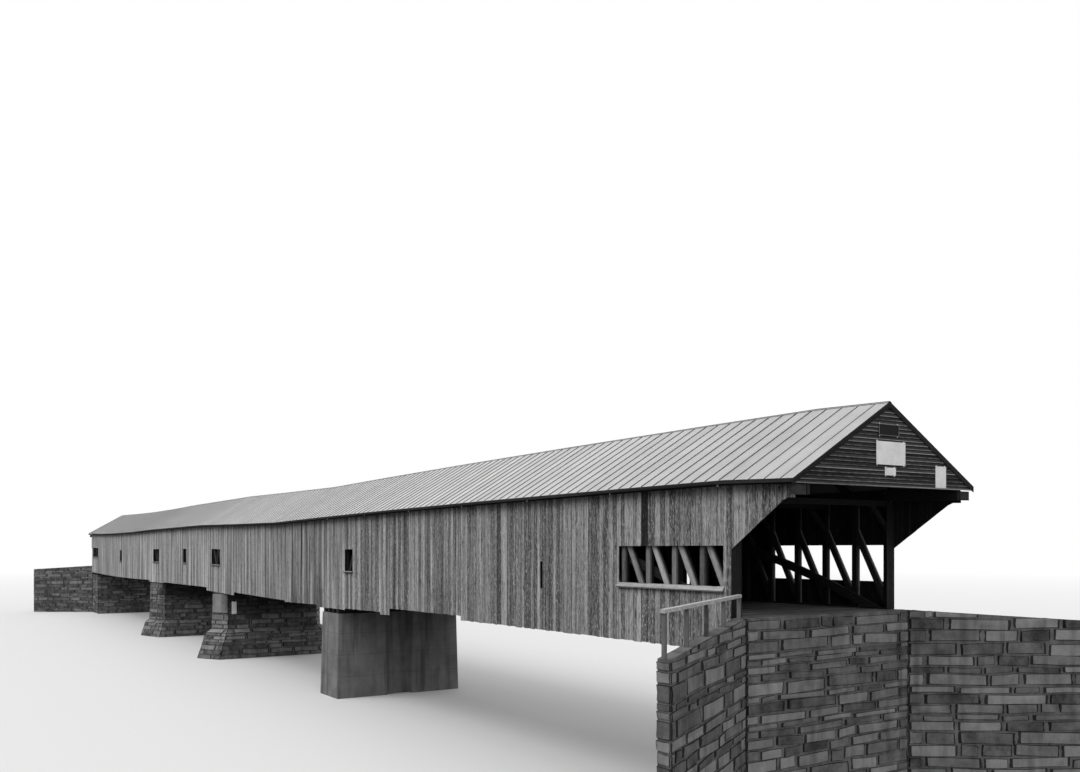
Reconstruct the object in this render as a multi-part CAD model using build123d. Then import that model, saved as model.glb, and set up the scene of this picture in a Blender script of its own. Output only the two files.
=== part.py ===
from build123d import *
import math
import os

os.makedirs("parts", exist_ok=True)

# Timber covered bridge of four spans, at a tenth of full size, in millimetres.
# +X runs to the near portal, +Y to the north wall and +Z up.
# The origin is the middle of the middle pier's foot.

# Lengths along the bridge, from the near portal to the far one
near_bearing_length = 120
span_1 = 3045
pier_1_thickness = 250
span_2 = 2075
pier_2_thickness = 300
span_3 = 1820
pier_3_thickness = 540
span_4 = 3100
far_bearing_length = 385
near_overhang = 276
far_overhang = 60

# Heights above the foot of the masonry
near_deck_height = 655
pier_1_deck_height = 619
pier_2_deck_height = 617
pier_3_deck_height = 600
far_deck_height = 588
pier_2_base_height = 225
pier_3_base_height = 155

# Sag of each span below the straight line, where a minus sign is camber
span_1_sag = -5
span_2_sag = 17
span_3_sag = 1
span_4_sag = 16
overhang_droop = 8

# Widths, each wall measured inwards from the outer face of its boards
bridge_width = 747
siding_thickness = 2.5
stick_thickness = 10
joint_gap = 0.4
post_thickness = 18
post_width = 20
panel_target = 134
brace_thickness = 15
brace_depth = 20
brace_foot_rise = 9
brace_rise = 215

# Heights above the line of the deck
lower_chord_bottom = -30
lower_chord_top = 5
plate_bottom = 366
plate_depth = 36
eave_height = 410
ridge_rise = 240
siding_top_drop = 6

# Roof and gables
eave_overhang = 33
roof_thickness = 5
ridge_cap_width = 9
ridge_cap_thickness = 1.5
fascia_thickness = 2.5
fascia_depth = 5
rafter_width = 10
rafter_depth = 22
rafter_tail_depth = 5
rafter_panels = 3 / 2
rafter_ridge_gap = 0.6
rafter_end_gap = 20
rake_thickness = 2.5
rake_depth = 12
gable_thickness = 4
gable_bottom = 397
gable_inset = 3.5
girt_width = 8
girt_depth = 16
plate_box_length = 16
plate_box_depth = 28
plate_box_outreach = 18
plate_box_reach = 26

# Floor
floor_beam_width = 20
floor_beam_depth = 35
stringer_width = 12
stringer_count = 5
stringer_margin = 20
deck_thickness = 8
deck_edge_gap = 1

# Ties, knees and arches
tie_width = 16
tie_depth = 18
tie_posts = 2
knee_width = 12
knee_reach = 80
knee_depth = 18
arch_thickness = 10
arch_depth = 30
arch_crown_gap = 4
knee_arch_gap = 8
arch_foot_gap = 12
arch_end_inset = 25
arch_segments = 16

# Bearings between the trusses and the masonry
bolster_depth = 26
bolster_reach = 80
near_timber_depth = 14
pier_1_timber_depth = 50
pier_2_timber_depth = 31
pier_3_timber_depth = 16
far_timber_depth = 14
bearing_timber_width = 30
bearing_timber_pitch = 75
bearing_timber_inset = 12
bearing_edge_gap = 1

# Openings in the boards
window_height = 120
window_head = 220
opening_height = 124
opening_head = 216
opening_posts = 4
opening_edge = 25
window_post_gap = 1
window_1_distance = 251
window_2_distance = -134
window_3_distance = 0
window_4_distance = 0
window_5_distance = 47
far_opening_edge = 94
far_opening_length = 367
far_opening_height = 112
far_opening_head = 232
slot_distance = 1041
slot_width = 17
slot_head = 160
slot_height = 104
board_gap = 0.5
window_sill_depth = 8
opening_sill_depth = 17
sill_reach = 10
sill_nosing = 4
sill_horn = 6

# Drop of the boards' lower edge below the deck, in steps along the wall
skirt_length = 1710
skirt_drop = 105
span_1_drop = 85
pier_1_patch_drop = 120
pier_1_approach_drop = 108
pier_1_drop = 116
span_2_near_drop = 103
span_2_drop = 93
pier_2_drop = 115
span_3_drop = 90
pier_3_drop = 98
span_4_drop = 80
pier_1_approach_reach = 820
pier_1_patch_reach = 707
pier_1_drop_reach = 230
span_2_near_reach = 810
pier_2_drop_reach = 390
pier_3_drop_reach = 310

# Portals
portal_wing_height = 205
near_wing_slope_length = 218
far_wing_slope_length = 28
portal_wing_pitch = 35
portal_casing_thickness = 2.5

# Masonry
pier_batter = 1.2
base_batter = 3
nose_batter = 16
cutwater_reach = 60
cutwater_shoulder = 25
pier_1_shaft_width = 285
pier_1_recess = 40
base_ledge = 38
base_weathering = 30
abutment_batter_run = 20
backwall_gap = 3
backwall_thickness = 60
wing_flare = 57.5
wing_length = 740
wing_thickness = 50
wing_top_drop = 45

# Rail of the near approach, on the south wing wall
rail_width = 14
rail_depth = 9
rail_height = 71
rail_post_width = 12
rail_post_count = 5

# Heights of the masonry under the bearings
bearing_depth = floor_beam_depth - lower_chord_bottom + bolster_depth
near_seat_height = near_deck_height - bearing_depth - near_timber_depth
pier_1_height = pier_1_deck_height - bearing_depth - pier_1_timber_depth
pier_2_height = pier_2_deck_height - bearing_depth - pier_2_timber_depth
pier_3_height = pier_3_deck_height - bearing_depth - pier_3_timber_depth
far_seat_height = far_deck_height - bearing_depth - far_timber_depth

half_width = bridge_width / 2
end_inset = max(post_width, floor_beam_width) / 2
SIDES = (("south", -1), ("north", 1))

# Places along the bridge
pier_2_x = 0
pier_1_x = pier_2_x + pier_2_thickness / 2 + span_2 + pier_1_thickness / 2
near_face_x = pier_1_x + pier_1_thickness / 2 + span_1
near_end_x = near_face_x + near_bearing_length
near_roof_x = near_end_x + near_overhang
pier_3_x = pier_2_x - pier_2_thickness / 2 - span_3 - pier_3_thickness / 2
far_face_x = pier_3_x - pier_3_thickness / 2 - span_4
far_end_x = far_face_x - far_bearing_length
far_roof_x = far_end_x - far_overhang

# The posts divide the trusses into equal panels, counted from the near portal
truss_length = near_end_x - far_end_x - 2 * end_inset
panel_count = round(truss_length / panel_target)
panel = truss_length / panel_count

# Depths of the layers of a truss, inwards from the outer face of the boards
outer_stick = (siding_thickness, siding_thickness + stick_thickness)
post_layer = (outer_stick[1], outer_stick[1] + post_thickness)
inner_stick = (post_layer[1], post_layer[1] + stick_thickness)
arch_layer = (post_layer[1], post_layer[1] + arch_thickness)
brace_layer = (
    sum(post_layer) / 2 - brace_thickness / 2,
    sum(post_layer) / 2 + brace_thickness / 2,
)

SUPPORTS = (
    (near_end_x, near_deck_height),
    (pier_1_x, pier_1_deck_height),
    (pier_2_x, pier_2_deck_height),
    (pier_3_x, pier_3_deck_height),
    (far_end_x, far_deck_height),
)
SAGS = (span_1_sag, span_2_sag, span_3_sag, span_4_sag)


def post_x(index):
    return near_end_x - end_inset - panel * index


def sagging_height(x):
    """Height of the worn deck line: straight between supports, less the sag of the span."""
    if x > near_end_x:
        return near_deck_height - overhang_droop * (x - near_end_x) / near_overhang
    if x < far_end_x:
        return far_deck_height - overhang_droop * (far_end_x - x) / near_overhang
    for (x_a, z_a), (x_b, z_b), sag in zip(SUPPORTS, SUPPORTS[1:], SAGS):
        if x_b <= x <= x_a:
            part = (x_a - x) / (x_a - x_b)
            return z_a + (z_b - z_a) * part - 4 * sag * part * (1 - part)


# The timbers bend at stations midway between posts, so that no post stands on a bend
STATION_PANELS = 7
STATIONS = [near_roof_x, near_end_x]
STATIONS += [post_x(k + 0.5) for k in range(STATION_PANELS // 2, panel_count - 1, STATION_PANELS)]
STATIONS += [far_end_x, far_roof_x]


def deck_z(x):
    """Height of the deck line, in straight lengths from station to station."""
    for x_a, x_b in zip(STATIONS, STATIONS[1:]):
        if x >= x_b:
            part = (x_a - x) / (x_a - x_b)
            return sagging_height(x_a) + part * (sagging_height(x_b) - sagging_height(x_a))
    return sagging_height(far_roof_x)


def stops(x_near, x_far):
    """The two ends of a member and the stations between them."""
    return [x_near] + [x for x in STATIONS if x_far < x < x_near] + [x_far]


def strip(x_near, x_far, low, high):
    """Side view of a member that follows the deck line between two heights above it."""
    places = stops(x_near, x_far)
    top = [(x, deck_z(x) + high) for x in places]
    return top + [(x, deck_z(x) + low) for x in reversed(places)]


def lengths(x_near, x_far):
    """Straight lengths of a long member, butted with a small gap at each bend of the line."""
    places = stops(x_near, x_far)
    inner = places[1:-1]
    starts = [x_near] + [x - joint_gap / 2 for x in inner]
    ends = [x + joint_gap / 2 for x in inner] + [x_far]
    return list(zip(starts, ends))


def along(points, side, layer):
    """Solid with an outline in side view, between two depths of one wall."""
    y = side * (half_width - layer[0])
    face = Face(Wire.make_polygon([(x, y, z) for x, z in points], close=True))
    return Solid.extrude(face, Vector(0, -side * (layer[1] - layer[0]), 0))


def run_along(x_near, x_far, low, high, side, layer):
    """Long member between two depths of one wall, as its straight lengths."""
    return [along(strip(a, b, low, high), side, layer) for a, b in lengths(x_near, x_far)]


def across(x, width, points):
    """Solid with an outline in end view, heights above the deck line, that follows the line's slope."""
    x_a = x + width / 2
    x_b = x - width / 2
    face = Face(Wire.make_polygon([(x_a, y, deck_z(x_a) + z) for y, z in points], close=True))
    return Solid.extrude(face, Vector(-width, 0, deck_z(x_b) - deck_z(x_a)))


def block(x_near, x_far, y_low, y_high, z_low, z_high):
    corner = Location((x_far, y_low, z_low))
    return Solid.make_box(x_near - x_far, y_high - y_low, z_high - z_low).moved(corner)


def save(name, solids):
    node = Compound(label=name, children=list(solids))
    export_step(node, f"parts/{name}.step")


# Masonry

def pier_outline(thickness, reach):
    """Plan of a pier with a pointed cutwater at each end."""
    shoulder = half_width - cutwater_shoulder
    half = thickness / 2
    return [
        (half, shoulder), (0, half_width + reach), (-half, shoulder),
        (-half, -shoulder), (0, -half_width - reach), (half, -shoulder),
    ]


def plan_face(points, x, z):
    return Face(Wire.make_polygon([(x + px, py, z) for px, py in points], close=True))


def spread(outline, side_run, end_run):
    """Outline in plan with its sides and its end faces moved outwards, each kept parallel."""
    moved = []
    for before, (x, y), after in zip(outline[-1:] + outline[:-1], outline, outline[1:] + outline[:1]):
        coming = Vector(y - before[1], before[0] - x, 0).normalized()
        going = Vector(after[1] - y, x - after[0], 0).normalized()
        coming_run = side_run if coming.Y == 0 else end_run
        going_run = side_run if going.Y == 0 else end_run
        turn = coming.X * going.Y - coming.Y * going.X
        moved.append((
            x + (coming_run * going.Y - going_run * coming.Y) / turn,
            y + (going_run * coming.X - coming_run * going.X) / turn,
        ))
    return moved


def flat_sided(lower, upper, x, z_low, z_high):
    """Solid between two outlines in plan whose matching sides are parallel, so that each side is flat."""
    low = [(x + px, py, z_low) for px, py in lower]
    high = [(x + px, py, z_high) for px, py in upper]
    faces = [Face(Wire.make_polygon(low[::-1], close=True)), Face(Wire.make_polygon(high, close=True))]
    for a, b, c, d in zip(low, low[1:] + low[:1], high[1:] + high[:1], high):
        faces.append(Face(Wire.make_polygon([a, b, c, d], close=True)))
    return Solid(Shell(faces))


def batter_run(height, batter):
    return height * math.tan(math.radians(batter))


def two_shafts(thickness, width, shaft_width, recess):
    """Plan of a pier with a broad shaft under each truss and a recessed web between them."""
    face, web = thickness / 2, thickness / 2 - recess
    end, inner = width / 2, width / 2 - shaft_width
    return [
        (face, inner), (face, end), (-face, end), (-face, inner), (-web, inner), (-web, -inner),
        (-face, -inner), (-face, -end), (face, -end), (face, -inner), (web, -inner), (web, inner),
    ]


def stone_pier(x, thickness, height, base_height):
    """Battered shaft with cutwaters on a wider base with a weathered top."""
    top = pier_outline(thickness, cutwater_reach)
    shaft_run = batter_run(height - base_height, pier_batter)
    foot = spread(top, shaft_run, shaft_run)
    shaft = flat_sided(foot, top, x, base_height, height)
    ledge_height = base_height - base_weathering
    ledge = spread(foot, base_ledge, base_ledge)
    bottom = spread(ledge, batter_run(ledge_height, base_batter), batter_run(ledge_height, nose_batter))
    base = flat_sided(bottom, ledge, x, 0, ledge_height)
    cap = flat_sided(ledge, foot, x, ledge_height, base_height)
    return shaft, base.fuse(cap).clean()


def concrete_pier():
    top = two_shafts(pier_1_thickness, bridge_width, pier_1_shaft_width, pier_1_recess)
    run = batter_run(pier_1_height, pier_batter)
    foot = spread(top, run, run)
    return flat_sided(foot, top, pier_1_x, 0, pier_1_height)


def abutment(face_x, end_x, seat_height, deck_height, out):
    """Stem with a battered face, a seat for the trusses and a back wall up to the road."""
    back_x = end_x + out * (backwall_gap + backwall_thickness)
    points = [
        (face_x - out * abutment_batter_run, 0),
        (face_x, seat_height),
        (end_x + out * backwall_gap, seat_height),
        (end_x + out * backwall_gap, deck_height),
        (back_x, deck_height),
        (back_x, 0),
    ]
    margin = siding_thickness + bearing_edge_gap
    return along(points, 1, (margin, bridge_width - margin))


def wing_frame(end_x, out, side):
    """Root of a wing wall on the abutment's side, its run and the skew width of its root."""
    flare = math.radians(wing_flare)
    root = Vector(end_x + out * backwall_gap, side * (half_width - siding_thickness - bearing_edge_gap), 0)
    run = Vector(out * math.cos(flare), side * math.sin(flare), 0)
    skew = Vector(out / math.sin(flare), 0, 0)
    return root, run, skew


def wing_piece(end_x, out, side, start, stop, low, high, offset, thickness):
    """Upright piece along a wing wall, between two lengths, with heights given as functions."""
    root, run, skew = wing_frame(end_x, out, side)
    corner_a = root + run * start + skew * offset
    corner_b = root + run * stop + skew * offset
    points = [
        corner_a + Vector(0, 0, low(start)), corner_b + Vector(0, 0, low(stop)),
        corner_b + Vector(0, 0, high(stop)), corner_a + Vector(0, 0, high(start)),
    ]
    return Solid.extrude(Face(Wire.make_polygon(points, close=True)), skew * thickness)


def coping_height(deck_height, run):
    return deck_height - wing_top_drop * run / wing_length


def wing_wall(end_x, deck_height, out, side):
    def ground(run):
        return 0

    def coping(run):
        return coping_height(deck_height, run)

    return wing_piece(end_x, out, side, 0, wing_length, ground, coping, 0, wing_thickness)


pier_2_shaft, pier_2_base = stone_pier(pier_2_x, pier_2_thickness, pier_2_height, pier_2_base_height)
pier_3_shaft, pier_3_base = stone_pier(pier_3_x, pier_3_thickness, pier_3_height, pier_3_base_height)
save("near_abutment", [abutment(near_face_x, near_end_x, near_seat_height, near_deck_height, 1)])
save("far_abutment", [abutment(far_face_x, far_end_x, far_seat_height, far_deck_height, -1)])
save("near_wing_walls", [wing_wall(near_end_x, near_deck_height, 1, side) for _, side in SIDES])
save("far_wing_walls", [wing_wall(far_end_x, far_deck_height, -1, side) for _, side in SIDES])
save("near_pier", [concrete_pier()])
save("middle_pier", [pier_2_shaft])
save("middle_pier_base", [pier_2_base])
save("far_pier", [pier_3_shaft])
save("far_pier_base", [pier_3_base])

# Bearings

floor_beam_bottom = lower_chord_bottom - floor_beam_depth
bolster_layer = (siding_thickness + bearing_edge_gap, inner_stick[1])
BEARINGS = (
    (near_end_x, near_face_x, near_end_x, near_seat_height),
    (pier_1_x, pier_1_x - pier_1_thickness / 2, pier_1_x + pier_1_thickness / 2, pier_1_height),
    (pier_2_x, pier_2_x - pier_2_thickness / 2, pier_2_x + pier_2_thickness / 2, pier_2_height),
    (pier_3_x, pier_3_x - pier_3_thickness / 2, pier_3_x + pier_3_thickness / 2, pier_3_height),
    (far_end_x, far_end_x, far_face_x, far_seat_height),
)


def bolster_bottom(x):
    return deck_z(x) + floor_beam_bottom - bolster_depth


def bolster(x, x_low, x_high, side):
    """Timber along the wall over one support, flat below and following the floor beams above."""
    x_near = min(x_high + bolster_reach, near_end_x)
    x_far = max(x_low - bolster_reach, far_end_x)
    top = [(place, deck_z(place) + floor_beam_bottom) for place in stops(x_near, x_far)]
    flat = bolster_bottom(x)
    return along(top + [(x_far, flat), (x_near, flat)], side, bolster_layer)


def bearing_timbers(x, x_low, x_high, height):
    """Timbers across the masonry, spread over its top under the bolsters."""
    first = x_low + bearing_timber_inset + bearing_timber_width / 2
    last = x_high - bearing_timber_inset - bearing_timber_width / 2
    count = max(2, round((last - first) / bearing_timber_pitch) + 1)
    half = half_width - siding_thickness - bearing_edge_gap
    timbers = []
    for index in range(count):
        centre = first + (last - first) * index / (count - 1)
        timbers.append(block(
            centre + bearing_timber_width / 2, centre - bearing_timber_width / 2,
            -half, half, height, bolster_bottom(x),
        ))
    return timbers


bolsters = []
timbers = []
for x, x_low, x_high, height in BEARINGS:
    timbers += bearing_timbers(x, x_low, x_high, height)
    for _, side in SIDES:
        bolsters.append(bolster(x, x_low, x_high, side))
save("bearing_timbers", timbers)
save("bolsters", bolsters)

# Floor

beam_half = half_width - siding_thickness
floor_beams = []
for index in range(panel_count + 1):
    floor_beams.append(across(post_x(index), floor_beam_width, [
        (-beam_half, floor_beam_bottom), (beam_half, floor_beam_bottom),
        (beam_half, lower_chord_bottom), (-beam_half, lower_chord_bottom),
    ]))
save("floor_beams", floor_beams)

deck_half = half_width - inner_stick[1] - deck_edge_gap
stringers = []
for index in range(stringer_count):
    room = 2 * (deck_half - stringer_margin) - stringer_width
    start = half_width - deck_half + stringer_margin + room * index / (stringer_count - 1)
    layer = (start, start + stringer_width)
    stringers += run_along(near_end_x, far_end_x, lower_chord_bottom, -deck_thickness, 1, layer)
save("stringers", stringers)
deck_layer = (half_width - deck_half, half_width + deck_half)
save("deck", run_along(near_end_x, far_end_x, -deck_thickness, 0, 1, deck_layer))

# Trusses

plate_top = plate_bottom + plate_depth
near_gable_x = near_roof_x - rake_thickness - gable_thickness
far_gable_x = far_roof_x + rake_thickness + gable_thickness


def span_middle(x):
    """Middle of the span that holds x."""
    for (x_a, _), (x_b, _) in zip(SUPPORTS, SUPPORTS[1:]):
        if x >= x_b:
            return (x_a + x_b) / 2
    return far_end_x


def brace(index, side):
    """Slanting timber of one panel, its head on the post nearer to the middle of the span."""
    near_x = post_x(index) - post_width / 2
    far_x = post_x(index + 1) + post_width / 2
    foot_x, head_x = near_x, far_x
    if (near_x + far_x) / 2 < span_middle((near_x + far_x) / 2):
        foot_x, head_x = far_x, near_x
    slope = brace_rise / (near_x - far_x)
    plumb_depth = brace_depth * math.hypot(1, slope)
    foot = deck_z(foot_x) + lower_chord_top + brace_foot_rise
    head = deck_z(head_x) + lower_chord_top + brace_foot_rise + brace_rise
    points = [
        (foot_x, foot), (head_x, head),
        (head_x, head + plumb_depth), (foot_x, foot + plumb_depth),
    ]
    return along(points, side, brace_layer)


for name, side in SIDES:
    lower_chord = []
    for layer in (outer_stick, inner_stick):
        lower_chord += run_along(near_end_x, far_end_x, lower_chord_bottom, lower_chord_top, side, layer)
    save(f"{name}_lower_chord", lower_chord)
    outer_near, outer_far = near_gable_x - plate_box_length, far_gable_x + plate_box_length
    plate = run_along(outer_near, outer_far, plate_bottom, plate_top, side, outer_stick)
    plate += run_along(near_gable_x, far_gable_x, plate_bottom, plate_top, side, inner_stick)
    save(f"{name}_wall_plate", plate)
    posts = []
    for index in range(panel_count + 1):
        x = post_x(index)
        shape = strip(x + post_width / 2, x - post_width / 2, lower_chord_bottom, plate_top)
        posts.append(along(shape, side, post_layer))
    save(f"{name}_posts", posts)
    save(f"{name}_braces", [brace(index, side) for index in range(panel_count)])

# Arches, one in each span of each truss, on the inner faces of the posts

tie_bottom = plate_bottom - tie_depth
arch_crown = tie_bottom - arch_crown_gap


def arch_ends(index):
    """Feet of one span's arch on the lower chord, clear of the next span's arch."""
    near_x = SUPPORTS[index][0] - (arch_end_inset if index == 0 else arch_foot_gap)
    far_x = SUPPORTS[index + 1][0] + (arch_end_inset if index == len(SAGS) - 1 else arch_foot_gap)
    return near_x, far_x


def arc_height(offset, half, rise):
    """Height of an arc above its ends, at a distance from its middle."""
    radius = (half ** 2 + rise ** 2) / (2 * rise)
    return rise - radius + math.sqrt(radius ** 2 - offset ** 2)


def arch_edge(near_x, far_x, rise):
    """Back or belly of an arch above the lower chord, in equal straight steps along the bridge."""
    middle = (near_x + far_x) / 2
    half = (near_x - far_x) / 2
    points = []
    for step in range(arch_segments + 1):
        offset = half - 2 * half * step / arch_segments
        height = lower_chord_top + arc_height(offset, half, rise)
        points.append((middle + offset, deck_z(middle + offset) + height))
    return points


def arch(index, side):
    near_x, far_x = arch_ends(index)
    rise = arch_crown - lower_chord_top
    foot_angle = 2 * math.atan(2 * rise / (near_x - far_x))
    foot_length = arch_depth / math.sin(foot_angle)
    back = arch_edge(near_x, far_x, rise)
    belly = arch_edge(near_x - foot_length, far_x + foot_length, rise - arch_depth)
    return along(back + belly[::-1], side, arch_layer)


def arch_height(x):
    """Height of the back of the arch above the deck line at x."""
    for index in range(len(SAGS)):
        near_x, far_x = arch_ends(index)
        if far_x <= x <= near_x:
            half = (near_x - far_x) / 2
            offset = x - (near_x + far_x) / 2
            return lower_chord_top + arc_height(offset, half, arch_crown - lower_chord_top)
    return lower_chord_top


for name, side in SIDES:
    save(f"{name}_arches", [arch(index, side) for index in range(len(SAGS))])

# Ties between the walls and the knees under them

tie_half = half_width - post_layer[1]
tie_beams = []
knees = []
for index in range(0, panel_count + 1, tie_posts):
    x = post_x(index)
    tie_beams.append(across(x, tie_width, [
        (-tie_half, tie_bottom), (tie_half, tie_bottom),
        (tie_half, plate_bottom), (-tie_half, plate_bottom),
    ]))
    knee_foot = tie_bottom - knee_reach
    if arch_height(x) > knee_foot - knee_arch_gap:
        continue
    for _, side in SIDES:
        knees.append(across(x, knee_width, [
            (side * tie_half, knee_foot),
            (side * tie_half, knee_foot + knee_depth),
            (side * (tie_half - knee_reach + knee_depth), tie_bottom),
            (side * (tie_half - knee_reach), tie_bottom),
        ]))
save("tie_beams", tie_beams)
save("knee_braces", knees)

# Roof

eave_half = half_width + eave_overhang
slope = ridge_rise / eave_half
roof_plumb = roof_thickness * math.hypot(1, slope)
rafter_plumb = rafter_depth * math.hypot(1, slope)


def roof_underside(y):
    """Height of the roof's underside above the deck line at a distance from the ridge."""
    return eave_height - roof_plumb + (eave_half - abs(y)) * slope


def sloping(x_near, x_far, low, high, side, y, run):
    """Lengths of a member with a side-view strip at y that runs up the roof's slope towards the ridge."""
    solids = []
    for x_a, x_b in lengths(x_near, x_far):
        points = [(x, y, z) for x, z in strip(x_a, x_b, low, high)]
        face = Face(Wire.make_polygon(points, close=True))
        solids.append(Solid.extrude(face, Vector(0, -side * run, run * slope)))
    return solids


def rafter(x, side):
    """Rafter with a level heel on the wall plate, a thin tail and a plumb cut at the ridge."""
    tail = eave_half - fascia_thickness
    plate_face = half_width - outer_stick[0]
    heel = eave_half - (plate_top + rafter_plumb + roof_plumb - eave_height) / slope
    ridge = rafter_ridge_gap / 2
    return across(x, rafter_width, [(side * y, z) for y, z in (
        (tail, roof_underside(tail)),
        (tail, roof_underside(tail) - rafter_tail_depth),
        (plate_face, plate_top),
        (heel, plate_top),
        (ridge, roof_underside(ridge) - rafter_plumb),
        (ridge, roof_underside(ridge)),
    )])


for name, side in SIDES:
    roof_side = sloping(
        near_roof_x, far_roof_x, eave_height - roof_plumb, eave_height,
        side, side * eave_half, eave_half,
    )
    save(f"{name}_roof", roof_side)

ridge_top = eave_height + ridge_rise
cap_halves = []
for _, side in SIDES:
    cap_halves.append(sloping(
        near_roof_x, far_roof_x, ridge_top - ridge_cap_width * slope,
        ridge_top - ridge_cap_width * slope + ridge_cap_thickness,
        side, side * ridge_cap_width, ridge_cap_width,
    ))
save("ridge_cap", [south_half.fuse(north_half) for south_half, north_half in zip(*cap_halves)])

fascias = []
for _, side in SIDES:
    top = eave_height - roof_plumb
    fascias += sloping(
        near_roof_x - rake_thickness, far_roof_x + rake_thickness, top - fascia_depth, top,
        side, side * eave_half, fascia_thickness,
    )
save("eave_fascias", fascias)

rafter_places = [near_gable_x - rafter_width / 2, far_gable_x + rafter_width / 2]
rafter_index = -1
while post_x(rafter_index * rafter_panels) > far_gable_x + rafter_end_gap:
    rafter_places.append(post_x(rafter_index * rafter_panels))
    rafter_index += 1
save("rafters", [rafter(x, side) for x in rafter_places for _, side in SIDES])

# Gables

gable_half = half_width - gable_inset
girt_half = half_width - inner_stick[1]
rakes = []
girts = []
for end, out, roof_x in (("near", 1, near_roof_x), ("far", -1, far_roof_x)):
    rake_x = roof_x - out * rake_thickness / 2
    gable_x = roof_x - out * (rake_thickness + gable_thickness / 2)
    girt_x = roof_x - out * (rake_thickness + gable_thickness + girt_width / 2)
    save(f"{end}_gable", [across(gable_x, gable_thickness, [
        (-gable_half, gable_bottom), (gable_half, gable_bottom),
        (gable_half, roof_underside(gable_half)), (0, roof_underside(0)),
        (-gable_half, roof_underside(gable_half)),
    ])])
    rakes.append(across(rake_x, rake_thickness, [
        (-eave_half, roof_underside(eave_half) - rake_depth), (0, roof_underside(0) - rake_depth),
        (eave_half, roof_underside(eave_half) - rake_depth), (eave_half, roof_underside(eave_half)),
        (0, roof_underside(0)), (-eave_half, roof_underside(eave_half)),
    ]))
    girts.append(across(girt_x, girt_width, [
        (-girt_half, gable_bottom), (girt_half, gable_bottom),
        (girt_half, gable_bottom + girt_depth), (-girt_half, gable_bottom + girt_depth),
    ]))
save("rake_boards", rakes)
save("gable_girts", girts)

# Boards of the side walls, split beside, over and under the openings

siding_top = plate_top - siding_top_drop
siding_layer = (0, siding_thickness)


def nearest_opening(x, panels):
    """Window of some panels near x, its sides just clear of the posts."""
    steps = (near_end_x - end_inset - x) / panel
    first = round(steps - panels / 2)
    margin = post_width / 2 + window_post_gap
    return (
        post_x(first) - margin, post_x(first + panels) + margin,
        window_head - window_height, window_head, window_sill_depth,
    )


def side_openings():
    """Openings of a wall from the near portal on: near edge, far edge, sill, head, sill board."""
    opening = (
        near_end_x - opening_edge - end_inset, post_x(opening_posts) - post_width / 2,
        opening_head - opening_height, opening_head, opening_sill_depth,
    )
    slot = (
        near_end_x - slot_distance, near_end_x - slot_distance - slot_width,
        slot_head - slot_height, slot_head, 0,
    )
    far_opening = (
        far_end_x + far_opening_edge + far_opening_length, far_end_x + far_opening_edge,
        far_opening_head - far_opening_height, far_opening_head, window_sill_depth,
    )
    return [
        opening,
        slot,
        nearest_opening(pier_1_x + window_1_distance, 1),
        nearest_opening(pier_2_x + window_2_distance, 2),
        nearest_opening((pier_2_x + pier_3_x) / 2 + window_3_distance, 1),
        nearest_opening(pier_3_x + window_4_distance, 2),
        nearest_opening((pier_3_x + far_end_x) / 2 + window_5_distance, 1),
        far_opening,
    ]


ZONES = (
    (near_end_x - skirt_length, skirt_drop),
    (pier_1_x + pier_1_approach_reach, span_1_drop),
    (pier_1_x + pier_1_patch_reach, pier_1_patch_drop),
    (pier_1_x + pier_1_drop_reach, pier_1_approach_drop),
    (pier_1_x - pier_1_drop_reach, pier_1_drop),
    (pier_1_x - span_2_near_reach, span_2_near_drop),
    (pier_2_x + pier_2_drop_reach, span_2_drop),
    (pier_2_x - pier_2_drop_reach, pier_2_drop),
    (pier_3_x + pier_3_drop_reach, span_3_drop),
    (pier_3_x - pier_3_drop_reach, pier_3_drop),
    (far_end_x, span_4_drop),
)


def boards_drop(x):
    for zone_end, drop in ZONES:
        if x > zone_end:
            return drop
    return span_4_drop


def siding(side):
    """Panels of upright boards with a joint's width between them."""
    openings = side_openings()
    breaks = {x for x in STATIONS if far_end_x <= x <= near_end_x}
    breaks.update(zone_end for zone_end, _ in ZONES)
    for near_x, far_x, _, _, _ in openings:
        breaks.update((near_x, far_x))
        breaks.difference_update({x for x in breaks if far_x < x < near_x})
    places = sorted(breaks, reverse=True)
    panels = []
    for x_a, x_b in zip(places, places[1:]):
        middle = (x_a + x_b) / 2
        start = x_a - (board_gap / 2 if x_a < near_end_x else 0)
        stop = x_b + (board_gap / 2 if x_b > far_end_x else 0)
        bottom = -boards_drop(middle)
        hole = [o for o in openings if o[1] < middle < o[0]]
        if not hole:
            panels.append(along(strip(start, stop, bottom, siding_top), side, siding_layer))
            continue
        sill, head = hole[0][2], hole[0][3]
        panels.append(along(strip(start, stop, bottom, sill), side, siding_layer))
        panels.append(along(strip(start, stop, head, siding_top), side, siding_layer))
    return panels


for name, side in SIDES:
    save(f"{name}_siding", siding(side))

sills = []
for near_x, far_x, sill, _, depth in side_openings():
    if depth == 0:
        continue
    for _, side in SIDES:
        sills.append(across((near_x + far_x) / 2, near_x - far_x + 2 * sill_horn, [
            (side * half_width, sill - depth), (side * half_width, sill),
            (side * (half_width + sill_reach), sill - depth + sill_nosing),
            (side * (half_width + sill_reach), sill - depth),
        ]))
save("window_sills", sills)

# Portals

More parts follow.
